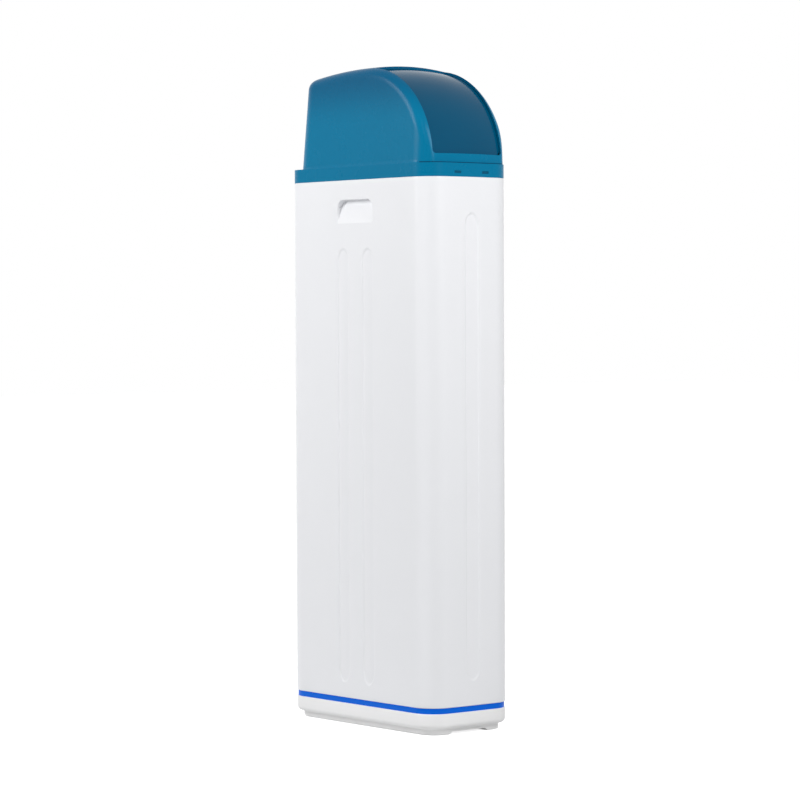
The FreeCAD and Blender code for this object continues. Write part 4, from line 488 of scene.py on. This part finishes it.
def tub_sides():
    """Places along a side face, close together across the flutes and the recess's ends."""
    flute = FLUTE_HALF + PAST_EDGE
    places = set(spread(-FLAT_Y, -SIDE_OUTER, COARSE)) | set(spread(SIDE_OUTER, FLAT_Y, COARSE))
    for middle in SIDE_FLUTES:
        places.update(spread(middle - flute, middle + flute, FLUTE_STEP))
    for way in (-1, 1):
        edge = GRIP_MIDDLE + GRIP_HALF * way
        near, far = sorted((edge - (GRIP_CORNER + 1) * way, edge + PAST_EDGE * way))
        places = {place for place in places if not near <= place <= far}
        places.update(spread(near, far, FINE))
    places.update(spread(-SIDE_INNER, SIDE_INNER, SIDE_INNER_STEP))
    return sorted(places)


def round_outline(radius, steps, middle=(0, 0)):
    return [(middle[0] + radius * math.cos(math.tau * step / steps),
             middle[1] + radius * math.sin(math.tau * step / steps)) for step in range(steps)]


def make_tub(material):
    flute = FLUTE_HALF + PAST_EDGE
    front = sorted(set(spread(-FLAT_X, -flute, PLAIN_STEP)) | set(spread(-flute, flute, FLUTE_STEP))
                   | set(spread(flute, FLAT_X, PLAIN_STEP)))
    spots = walk_round(front, tub_sides(), spread(-FLAT_X, FLAT_X, BACK_STEP))
    quarter = quarter_turn(RIM_STEPS)
    rings = [ring(spots, TUB_ROUND * (1 - math.sin(angle)),
                  STRIPE_TOP + TUB_ROUND * (1 - math.cos(angle))) for angle in quarter[:-1]]
    levels = tub_levels()
    rings += [ring(spots, outer_inset, level) for level in levels]
    rings += [ring(spots, RIM_EDGE * (1 - math.cos(angle)),
                   TUB_TOP - RIM_EDGE * (1 - math.sin(angle))) for angle in quarter[1:]]
    outer = loft("tub_outer", rings)
    inner_levels = [level for level in levels if GRIP_LOW - 5 < level < REBATE_LEVEL - 2]
    rings = [ring(spots, TUB_WALL, TUB_FLOOR)]
    rings += [ring(spots, inner_inset, level) for level in inner_levels]
    rings += [ring(spots, TUB_WALL, REBATE_LEVEL), ring(spots, REBATE_INSET, REBATE_LEVEL),
              ring(spots, REBATE_INSET, TUB_TOP + 1)]
    hollow = loft("tub_hollow", rings)
    face = CABINET_Y - OVERFLOW_DEPTH
    low, high = OVERFLOW_Z - OVERFLOW_RISE, OVERFLOW_Z + OVERFLOW_RISE
    left, right = OVERFLOW_X - OVERFLOW_HALF, OVERFLOW_X + OVERFLOW_HALF
    boxing = box_mesh("overflow_boxing", (left - TUB_WALL, face - TUB_WALL, low - TUB_WALL),
                      (right + TUB_WALL, CABINET_Y + 1, high + TUB_WALL))
    recess = box_mesh("overflow_recess", (left, face, low), (right, CABINET_Y + 1, high))
    bore = round_outline(OVERFLOW_BORE, BORE_STEPS, (OVERFLOW_X, OVERFLOW_Z))
    hole = prism_mesh("overflow_hole", bore, face - TUB_WALL - 1, face + 1)
    mesh = combine(outer, "DIFFERENCE", combine(hollow, "DIFFERENCE", boxing), recess, hole)
    add_piece("tub", mesh, material, "cabinet", ("cabinet_body",))


cabinet_white = plastic("cabinet_white", (243, 244, 247), 0.38, 0.08, 0.6, 0.01, 0.4)
make_tub(cabinet_white)


# Cabinet fittings: a barbed overflow fitting with its nut, the moulded deck with its salt opening,
# and the salt lid on its steel pin. The platform on legs keeps the salt off the floor of the tub.

black_plastic = plastic("black_plastic", (34, 35, 37), 0.48, 0.35, 0.4, 0.08)
inner_grey = plastic("inner_grey", (196, 199, 202), 0.5, 0.25, 0.5, 0.02)


def metal(name, colour, roughness, streak):
    """Bright metal, brushed along one way by a stretched noise."""
    material, tree, shader = new_material(name)
    shader.inputs["Metallic"].default_value = 1.0
    stretch = tree.nodes.new("ShaderNodeMapping")
    stretch.inputs["Scale"].default_value = streak
    spot = tree.nodes.new("ShaderNodeTexCoord").outputs["Object"]
    tree.links.new(spot, stretch.inputs["Vector"])
    brush = add_noise(tree, stretch.outputs["Vector"], 300.0, 4.0)
    fit_range(tree, brush, roughness * 0.7, roughness * 1.3, shader.inputs["Roughness"])
    base = srgb(*colour)
    blend_colours(tree, brush, [channel * 0.92 for channel in base],
                  [min(channel * 1.06, 1) for channel in base], shader.inputs["Base Color"])
    add_bump(tree, brush, 0.1, 0.0001, shader)
    return material


steel = metal("steel", (196, 198, 200), 0.28, (0.15, 1.0, 1.0))
finish(black_plastic, "overflow_fitting", "overflow_nut")
finish(inner_grey, "top_deck")
finish(cabinet_white, "salt_lid", "salt_platform")
finish(steel, "salt_lid_pin")


# Brine gear: a tall white well with a press-on cap, and in it the pick-up tube, the shut-off valve
# and a float on its rod. A milky flexible tube takes the brine to the valve.

grey_plastic = plastic("grey_plastic", (141, 146, 152), 0.48, 0.3, 0.5, 0.03)


def make_hose_material():
    """Milky flexible tube that lets a little light through."""
    material = plastic("hose_white", (233, 234, 229), 0.3, 0.05, 0.4, 0.03)
    shader = material.node_tree.nodes["Principled BSDF"]
    shader.inputs["Subsurface Weight"].default_value = 0.25
    shader.inputs["Subsurface Scale"].default_value = 0.002
    return material


finish(cabinet_white, "brine_well")
finish(base_white, "brine_well_cap")
finish(inner_grey, "float")
finish(grey_plastic, "brine_pickup", "safety_shutoff", "pickup_foot", "float_rod")
finish(make_hose_material(), "brine_hose")


# Pressure vessel: a moulded liner wound with resin-soaked glass thread, which crosses in two
# slants. It stands in a black foot ring, with a riser tube and two distributors inside.

WINDING_TURNS = 420.0
WINDING_SLANT = math.radians(24)


def make_winding():
    material, tree, shader = new_material("vessel_blue")
    spot = tree.nodes.new("ShaderNodeTexCoord").outputs["Object"]
    threads = []
    for slant in (WINDING_SLANT, -WINDING_SLANT):
        turn = tree.nodes.new("ShaderNodeMapping")
        turn.inputs["Rotation"].default_value = (slant, slant, 0)
        tree.links.new(spot, turn.inputs["Vector"])
        wave = tree.nodes.new("ShaderNodeTexWave")
        wave.bands_direction = "Z"
        wave.inputs["Scale"].default_value = WINDING_TURNS / math.tau
        wave.inputs["Distortion"].default_value = 1.2
        tree.links.new(turn.outputs["Vector"], wave.inputs["Vector"])
        threads.append(wave.outputs["Fac"])
    cross = tree.nodes.new("ShaderNodeMath")
    cross.operation = "MAXIMUM"
    tree.links.new(threads[0], cross.inputs[0])
    tree.links.new(threads[1], cross.inputs[1])
    threads_seen = cross.outputs[0]
    blend_colours(tree, threads_seen, srgb(150, 172, 188), srgb(188, 203, 212),
                  shader.inputs["Base Color"])
    fit_range(tree, threads_seen, 0.25, 0.4, shader.inputs["Roughness"])
    add_bump(tree, threads_seen, 0.5, 0.0004, shader)
    return material


finish(make_winding(), "pressure_vessel")
finish(black_plastic, "vessel_foot")
finish(grey_plastic, "riser_tube", "bottom_distributor", "top_distributor")


# Control valve: a glass-filled black body on a rubber gasket. Two lapped ceramic discs do the
# switching, turned through a white gear and pinion by a small steel-cased motor on its bracket.

rubber = plastic("rubber", (28, 28, 29), 0.8, 0.4, 0.3, 0.1, 0.3)
ceramic = plastic("ceramic", (236, 234, 229), 0.14, 0.02, 0.3, 0.01, 0.6)
finish(black_plastic, "valve_body", "valve_cover", "injector_cap", "drain_fitting",
       "brine_fitting", "drive_shaft", "motor_bracket")
finish(rubber, "neck_gasket", "port_seals")
finish(ceramic, "fixed_disc", "moving_disc")
finish(base_white, "drive_gear", "motor_pinion")
finish(steel, "drive_motor")
finish(grey_plastic, "injector", "turbine_cage", "flow_turbine")


# Valve head: a black cover with a sloping face. Behind the dark window a lit screen shows the
# time in plain figures, and four grey keys with printed marks stand under it.

SLOPE = math.radians(40)
SLOPE_OUT = Vector((0, -math.sin(SLOPE), math.cos(SLOPE)))
SLOPE_UP = Vector((0, math.cos(SLOPE), math.sin(SLOPE)))
FIGURE_WIDTH, FIGURE_HEIGHT, FIGURE_BAR, FIGURE_PITCH = 5.0, 9.0, 0.9, 8.6
FIGURE_LEAN, BAR_GAP, BAR_TIP = 0.1, 0.6, 0.5
PRINT_HEIGHT = 0.08
KEY_MARK, KEY_LINE, KEY_LINE_PITCH = 1.7, 0.45, 1.2
SEGMENTS = {"a": ((0, 1), (1, 1)), "b": ((1, 1), (1, 0.5)), "c": ((1, 0.5), (1, 0)),
            "d": ((0, 0), (1, 0)), "e": ((0, 0.5), (0, 0)), "f": ((0, 1), (0, 0.5)),
            "g": ((0, 0.5), (1, 0.5))}
SHOWN_TIME = ("bc", "abged", "afgcd", "abcdef")
SCREEN_BLUE = (150, 214, 240)


def outer_face(name):
    """Middle of a node's outermost face on the sloping front."""
    points = [vertex.co for vertex in nodes[name].data.vertices]
    far = max(point.dot(SLOPE_OUT) for point in points)
    face = [point for point in points if far - point.dot(SLOPE_OUT) < 1e-5]
    low = Vector([min(point[axis] for point in face) for axis in range(3)])
    high = Vector([max(point[axis] for point in face) for axis in range(3)])
    return (low + high) / 2


def printed(name, middle, outlines):
    """Flat printed shapes, a hair proud of a sloping face, from outlines in millimetres."""
    work = bmesh.new()
    for points in outlines:
        rows = []
        for height in (-PRINT_HEIGHT, PRINT_HEIGHT):
            rows.append([work.verts.new(middle + Vector((x * MM, 0, 0)) + SLOPE_UP * (y * MM)
                                        + SLOPE_OUT * (height * MM)) for x, y in points])
        low, high = rows
        work.faces.new(high)
        work.faces.new(list(reversed(low)))
        for index in range(len(points)):
            after = (index + 1) % len(points)
            work.faces.new((low[index], low[after], high[after], high[index]))
    bmesh.ops.recalc_face_normals(work, faces=work.faces)
    mesh = bpy.data.meshes.new(name)
    work.to_mesh(mesh)
    work.free()
    return mesh


def figure_outlines(number, lit):
    """The bars of one seven-bar figure, with pointed ends and a slight lean."""
    start = (number - (len(SHOWN_TIME) - 1) / 2) * FIGURE_PITCH - FIGURE_WIDTH / 2
    start += math.copysign(FIGURE_BAR, number - (len(SHOWN_TIME) - 1) / 2)
    shapes = []
    for bar in lit:
        ends = [Vector((x * FIGURE_WIDTH, (y - 0.5) * FIGURE_HEIGHT)) for x, y in SEGMENTS[bar]]
        way = (ends[1] - ends[0]).normalized()
        across = Vector((-way.y, way.x)) * FIGURE_BAR / 2
        near, far = ends[0] + way * FIGURE_BAR * BAR_GAP, ends[1] - way * FIGURE_BAR * BAR_GAP
        tip = way * FIGURE_BAR * BAR_TIP
        points = [near - tip, near - across, far - across, far + tip, far + across, near + across]
        shapes.append([(start + point.x + point.y * FIGURE_LEAN, point.y) for point in points])
    return shapes


def bar_outline(x, y, wide, tall):
    return [(x - wide / 2, y - tall / 2), (x + wide / 2, y - tall / 2),
            (x + wide / 2, y + tall / 2), (x - wide / 2, y + tall / 2)]


def make_figures():
    shapes = [shape for number, lit in enumerate(SHOWN_TIME)
              for shape in figure_outlines(number, lit)]
    shapes += [bar_outline(level * FIGURE_LEAN, level, FIGURE_BAR, FIGURE_BAR)
               for level in (-FIGURE_HEIGHT / 5, FIGURE_HEIGHT / 5)]
    glow = plastic("screen_glow", SCREEN_BLUE, 0.5, 0.02)
    shader = glow.node_tree.nodes["Principled BSDF"]
    shader.inputs["Emission Color"].default_value = (*srgb(*SCREEN_BLUE), 1)
    shader.inputs["Emission Strength"].default_value = 0.6
    mesh = printed("display_figures", outer_face("display_window"), shapes)
    add_piece("display_figures", mesh, glow, "cabinet")


def make_key_marks():
    white = plastic("mark_white", (226, 228, 230), 0.5, 0.1)
    tall = KEY_MARK * 0.9
    levels = (-KEY_LINE_PITCH, 0, KEY_LINE_PITCH)
    marks = {"menu_button": [bar_outline(0, level, KEY_MARK * 2, KEY_LINE) for level in levels],
             "down_button": [[(0, -tall), (KEY_MARK, tall), (-KEY_MARK, tall)]],
             "up_button": [[(-KEY_MARK, -tall), (KEY_MARK, -tall), (0, tall)]],
             "enter_button": [round_outline(KEY_MARK * 0.8, 20)]}
    for button, shapes in marks.items():
        mesh = printed(button + "_mark", outer_face(button), shapes)
        add_piece(button + "_mark", mesh, white, button)


finish(plastic("lens", (24, 34, 40), 0.12, 0.02, 0.5, 0.05, 0.6), "display_window")
make_figures()
make_key_marks()
finish(black_plastic, "head_base", "head_cover", "power_inlet")
finish(steel, "head_screws")
finish(plastic("board_green", (18, 96, 52), 0.4, 0.1, 0.5, 0.06), "circuit_board")
finish(grey_plastic, "display_frame", "menu_button", "down_button", "up_button", "enter_button")


# Bypass: a black moulded block with two valves under grey levers, held on by two union nuts with
# rubber seals. Its two pipe ends leave at the back, under the hood's notch.

finish(black_plastic, "bypass_body", "union_nuts", "inlet_rotor", "outlet_rotor")
finish(grey_plastic, "inlet_lever", "outlet_lever")


# Hood: one blue moulding with a skirt band that sits on the tub. Its walls rise from the band in a
# small cove at the sides, and across the front a dark strip is painted shadow for the parting line.
# Ribbed clips hold it.

# Levels in metres where the painted shade on the hood's roof begins and where it is full.
ROOF_SHADE_FROM, ROOF_SHADE_TO = 1.09, 1.185
PARTING_LOW, PARTING_HIGH, PARTING_PROUD = 1017.2, 1019.2, 0.15
PARTING_ANGLE = math.radians(72)
COVE_WIDTH, COVE_RISE, COVE_STEPS = 1.7, 9.0, 7
COVE_SINK = 0.5
BAND_STEPS = (5.0, 20.0, 10.0)
WALL_SEEN_OVER, SIDE_FACING = 0.3, 0.02
REACH_OUT, REACH_IN = 12.0, 60.0


def make_hood_material():
    """Blue plastic with painted shade: darker towards the roof, where the moulding turns over into it.
    """
    material = plastic("hood_blue", (0, 118, 158), 0.27, 0.06, 0.5, 0.025, 0.08)
    tree = material.node_tree
    colour = tree.nodes["Principled BSDF"].inputs["Base Color"]
    cloudy = colour.links[0].from_socket
    # Painted shade: from about 1.09 m up, the blue is mixed into a darker blue towards the roof.
    split = tree.nodes.new("ShaderNodeSeparateXYZ")
    tree.links.new(tree.nodes["Texture Coordinate"].outputs["Object"], split.inputs[0])
    rise = tree.nodes.new("ShaderNodeMapRange")
    rise.interpolation_type = "SMOOTHSTEP"
    rise.inputs["From Min"].default_value = ROOF_SHADE_FROM
    rise.inputs["From Max"].default_value = ROOF_SHADE_TO
    tree.links.new(split.outputs["Z"], rise.inputs["Value"])
    roof_shade = tree.nodes.new("ShaderNodeMix")
    roof_shade.data_type = "RGBA"
    tree.links.new(rise.outputs["Result"], roof_shade.inputs["Factor"])
    tree.links.new(cloudy, roof_shade.inputs["A"])
    roof_shade.inputs["B"].default_value = (*srgb(0, 92, 132), 1)
    tree.links.new(roof_shade.outputs["Result"], colour)
    return material


def hood_tree():
    """The hood's surface, to measure its walls against."""
    mesh = nodes["hood"].data
    points = [vertex.co.copy() for vertex in mesh.vertices]
    return BVHTree.FromPolygons(points, [tuple(face.vertices) for face in mesh.polygons])


def wall_places(tree, spots, level):
    """Where the hood's outer wall stands behind each place on the band, at a level in mm. In the
    notch at the back there is no wall, which gives None."""
    hits = []
    for place, facing in spots:
        out = Vector((facing.x, facing.y, 0))
        start = Vector((place.x, place.y, level)) * MM + out * REACH_OUT * MM
        hits.append(tree.ray_cast(start, -out, REACH_IN * MM)[0])
    return hits


def band_spots():
    reaches = (FLAT_X, FLAT_Y, FLAT_X)
    return walk_round(*[spread(-reach, reach, step) for reach, step in zip(reaches, BAND_STEPS)])


def make_parting_shadow(tree):
    front = [(place, facing) for place, facing in band_spots()
             if facing.y < -math.cos(PARTING_ANGLE)]
    front.sort(key=lambda spot: spot[0].x)
    rows = []
    for (place, facing), hit in zip(front, wall_places(tree, front, PARTING_HIGH + WALL_SEEN_OVER)):
        out = Vector((facing.x, facing.y, 0)) * MM
        wall = Vector((hit.x, hit.y, 0))
        face, back = wall + out * PARTING_PROUD, wall - out
        rows.append([point + Vector((0, 0, level * MM)) for point, level in (
            (back, PARTING_LOW), (face, PARTING_LOW), (face, PARTING_HIGH), (back, PARTING_HIGH))])
    # The strip's dark colour is painted shadow: it stands for the shade in the parting gap and sits a
    # hair proud of the wall.
    dark = plastic("parting_shadow", (0, 66, 96), 0.7, 0.1, 0.5, 0.05, 0.1)
    mesh = face_outward(loft("hood_parting_shadow", rows))
    add_piece("hood_parting_shadow", mesh, dark, "hood")


def make_coves(tree):
    """Small concave fillet between the band and each side wall."""
    for side, name in ((-1, "left"), (1, "right")):
        spots = [(place, facing) for place, facing in band_spots()
                 if facing.x * side > SIDE_FACING and facing.y > -math.cos(PARTING_ANGLE)]
        spots.sort(key=lambda spot: (spot[0].y, -spot[0].x * side))
        high = wall_places(tree, spots, PARTING_LOW + COVE_RISE)
        rows = []
        for (place, facing), hit in zip(spots, high):
            if hit is None:
                continue
            out = Vector((facing.x, facing.y, 0)) * MM
            wall = Vector((hit.x, hit.y, 0))
            section = [(-1, PARTING_LOW + COVE_RISE), (-1, PARTING_LOW - COVE_SINK),
                       (COVE_WIDTH, PARTING_LOW - COVE_SINK)]
            section += [(COVE_WIDTH * (1 - math.sin(angle)),
                         PARTING_LOW + COVE_RISE * (1 - math.cos(angle)))
                        for angle in quarter_turn(COVE_STEPS)]
            rows.append([wall + out * reach + Vector((0, 0, level * MM)) for reach, level in section])
        mesh = face_outward(loft("hood_cove", rows))
        add_piece("hood_cove_" + name, mesh, hood_blue, "hood")


hood_blue = make_hood_material()
surface = hood_tree()
make_parting_shadow(surface)
make_coves(surface)
finish(hood_blue, "hood")
finish(plastic("clip_blue", (10, 92, 124), 0.55, 0.1, 0.5, 0.05, 0.1), "hood_clips")
finish(grey_plastic, "visor_pins")


# Visor: a curved sheet of tinted clear plastic, crowned like the hood, that swings back under the
# roof on an arm at each side. The arms end in eyes on the hood's pivot pins.

VISOR_RADIUS, VISOR_WALL, VISOR_CROWN = 179.2, 2.5, 544.7
VISOR_HALF, VISOR_START, VISOR_SWEEP, VISOR_CORNER = 79.3, 6.1, 78.4, 9.0
VISOR_COLUMNS, VISOR_ROWS, ROW_CROWDING = 57, 97, 1.7
ARM_WIDTH, ARM_MIDDLE, HUB_RADIUS, EYE_RADIUS = 22.0, 45.3, 11.0, 4.05
HINGE = Vector(next(joint["pos_m"] for joint in frame["joints"] if joint["name"] == "visor_hinge"))


def make_visor_material():
    """Deep blue tinted sheet: clear enough to hint at what is behind it."""
    material, tree, shader = new_material("visor_tint")
    spot = tree.nodes.new("ShaderNodeTexCoord").outputs["Object"]
    cloud = add_noise(tree, spot, 7.0)
    blend_colours(tree, cloud, srgb(0, 79, 114), srgb(0, 87, 122), shader.inputs["Base Color"])
    fit_range(tree, cloud, 0.1, 0.18, shader.inputs["Roughness"])
    add_bump(tree, add_noise(tree, spot, 40.0), 0.05, 0.0005, shader)
    shader.inputs["Transmission Weight"].default_value = 0.1
    shader.inputs["Specular IOR Level"].default_value = 0.06
    return material


def make_visor_sheet(material):
    """Grid bent round the hinge axis by Geometry Nodes, with its lower corners rounded off."""
    tree = bpy.data.node_groups.new("visor_sheet", "GeometryNodeTree")
    tree.interface.new_socket("Geometry", in_out="OUTPUT", socket_type="NodeSocketGeometry")
    sizes = {"Radius": VISOR_RADIUS * MM, "Crown": VISOR_CROWN * MM, "Half Width": VISOR_HALF * MM,
             "Start": math.radians(VISOR_START), "Sweep": math.radians(VISOR_SWEEP),
             "Corner": VISOR_CORNER * MM, "Axis Back": HINGE.y, "Axis Level": HINGE.z}
    sockets = {name: tree.interface.new_socket(name, in_out="INPUT", socket_type="NodeSocketFloat")
               for name in sizes}
    given = tree.nodes.new("NodeGroupInput").outputs
    result = tree.nodes.new("NodeGroupOutput")

    def math_node(operation, *values):
        node = tree.nodes.new("ShaderNodeMath")
        node.operation = operation
        for index, value in enumerate(values):
            if isinstance(value, (int, float)):
                node.inputs[index].default_value = value
            else:
                tree.links.new(value, node.inputs[index])
        return node.outputs[0]

    grid = tree.nodes.new("GeometryNodeMeshGrid")
    grid.inputs["Size X"].default_value = 2.0
    grid.inputs["Size Y"].default_value = 1.0
    grid.inputs["Vertices X"].default_value = VISOR_COLUMNS
    grid.inputs["Vertices Y"].default_value = VISOR_ROWS
    split = tree.nodes.new("ShaderNodeSeparateXYZ")
    tree.links.new(tree.nodes.new("GeometryNodeInputPosition").outputs[0], split.inputs[0])
    along = math_node("POWER", math_node("ADD", split.outputs["Y"], 0.5), ROW_CROWDING)
    angle = math_node("MULTIPLY_ADD", along, given["Sweep"], given["Start"])
    rise = math_node("MULTIPLY", math_node("MULTIPLY", along, given["Sweep"]), given["Radius"])
    short = math_node("MAXIMUM", math_node("SUBTRACT", given["Corner"], rise), 0.0)
    square = math_node("MULTIPLY", given["Corner"], given["Corner"])
    bend = math_node("SQRT", math_node("SUBTRACT", square, math_node("MULTIPLY", short, short)))
    narrow = math_node("SUBTRACT", given["Corner"], bend)
    across = math_node("MULTIPLY", split.outputs["X"],
                       math_node("SUBTRACT", given["Half Width"], narrow))
    curve = math_node("SQRT", math_node("SUBTRACT",
                                        math_node("MULTIPLY", given["Crown"], given["Crown"]),
                                        math_node("MULTIPLY", across, across)))
    reach = math_node("SUBTRACT", given["Radius"], math_node("SUBTRACT", given["Crown"], curve))
    back = math_node("SUBTRACT", given["Axis Back"],
                     math_node("MULTIPLY", reach, math_node("COSINE", angle)))
    level = math_node("MULTIPLY_ADD", reach, math_node("SINE", angle), given["Axis Level"])
    place = tree.nodes.new("ShaderNodeCombineXYZ")
    for axis, value in zip("XYZ", (across, back, level)):
        tree.links.new(value, place.inputs[axis])
    bent = tree.nodes.new("GeometryNodeSetPosition")
    tree.links.new(grid.outputs["Mesh"], bent.inputs["Geometry"])
    tree.links.new(place.outputs[0], bent.inputs["Position"])
    real = tree.nodes.new("GeometryNodeRealizeInstances")
    tree.links.new(bent.outputs["Geometry"], real.inputs["Geometry"])
    paint = tree.nodes.new("GeometryNodeSetMaterial")
    paint.inputs["Material"].default_value = material
    tree.links.new(real.outputs["Geometry"], paint.inputs["Geometry"])
    tree.links.new(paint.outputs["Geometry"], result.inputs["Geometry"])
    holder = bpy.data.objects.new("visor_sheet", bpy.data.meshes.new("visor_sheet"))
    bpy.context.scene.collection.objects.link(holder)
    maker = holder.modifiers.new("sheet", "NODES")
    maker.node_group = tree
    for name, value in sizes.items():
        maker[sockets[name].identifier] = value
    wall = holder.modifiers.new("wall", "SOLIDIFY")
    wall.thickness = VISOR_WALL * MM
    wall.offset = -1.0
    wall.use_even_offset = True
    graph = bpy.context.evaluated_depsgraph_get()
    mesh = bpy.data.meshes.new_from_object(holder.evaluated_get(graph))
    bpy.data.objects.remove(holder)
    return mesh


def plate_mesh(name, outline, inner, outer):
    """Plate square to X from an outline given as Y and Z in mm about the hinge."""
    rows = [[(x * MM, HINGE.y + y * MM, HINGE.z + z * MM) for y, z in outline]
            for x in (inner, outer)]
    return face_outward(loft(name, rows))


def arm_outline():
    """Outline of an arm from the sheet to the rounded eye at its foot."""
    middle = math.radians(ARM_MIDDLE)
    way = Vector((-math.cos(middle), math.sin(middle)))
    side = Vector((way.y, -way.x)) * ARM_WIDTH / 2
    drop = VISOR_CROWN - math.sqrt(VISOR_CROWN ** 2 - VISOR_HALF ** 2)
    tip = way * (VISOR_RADIUS - VISOR_WALL / 2 - drop)
    points = [tip - side, tip + side]
    turn = math.atan2(side.y, side.x)
    points += [Vector((math.cos(turn - angle * 2), math.sin(turn - angle * 2))) * HUB_RADIUS
               for angle in quarter_turn(24)]
    return [(point.x, point.y) for point in points]


def make_visor():
    material = make_visor_material()
    mesh = make_visor_sheet(material)
    arms, eyes = [], []
    eye = round_outline(EYE_RADIUS, 40)
    for way in (-1, 1):
        inner, outer = sorted((way * (VISOR_HALF - VISOR_WALL), way * VISOR_HALF))
        arms.append(plate_mesh("visor_arm", arm_outline(), inner, outer))
        eyes.append(plate_mesh("visor_eye", eye, inner - 1, outer + 1))
    mesh = combine(combine(mesh, "UNION", *arms), "DIFFERENCE", *eyes)
    add_piece("visor_shell", mesh, material, "visor", ("visor",))


make_visor()
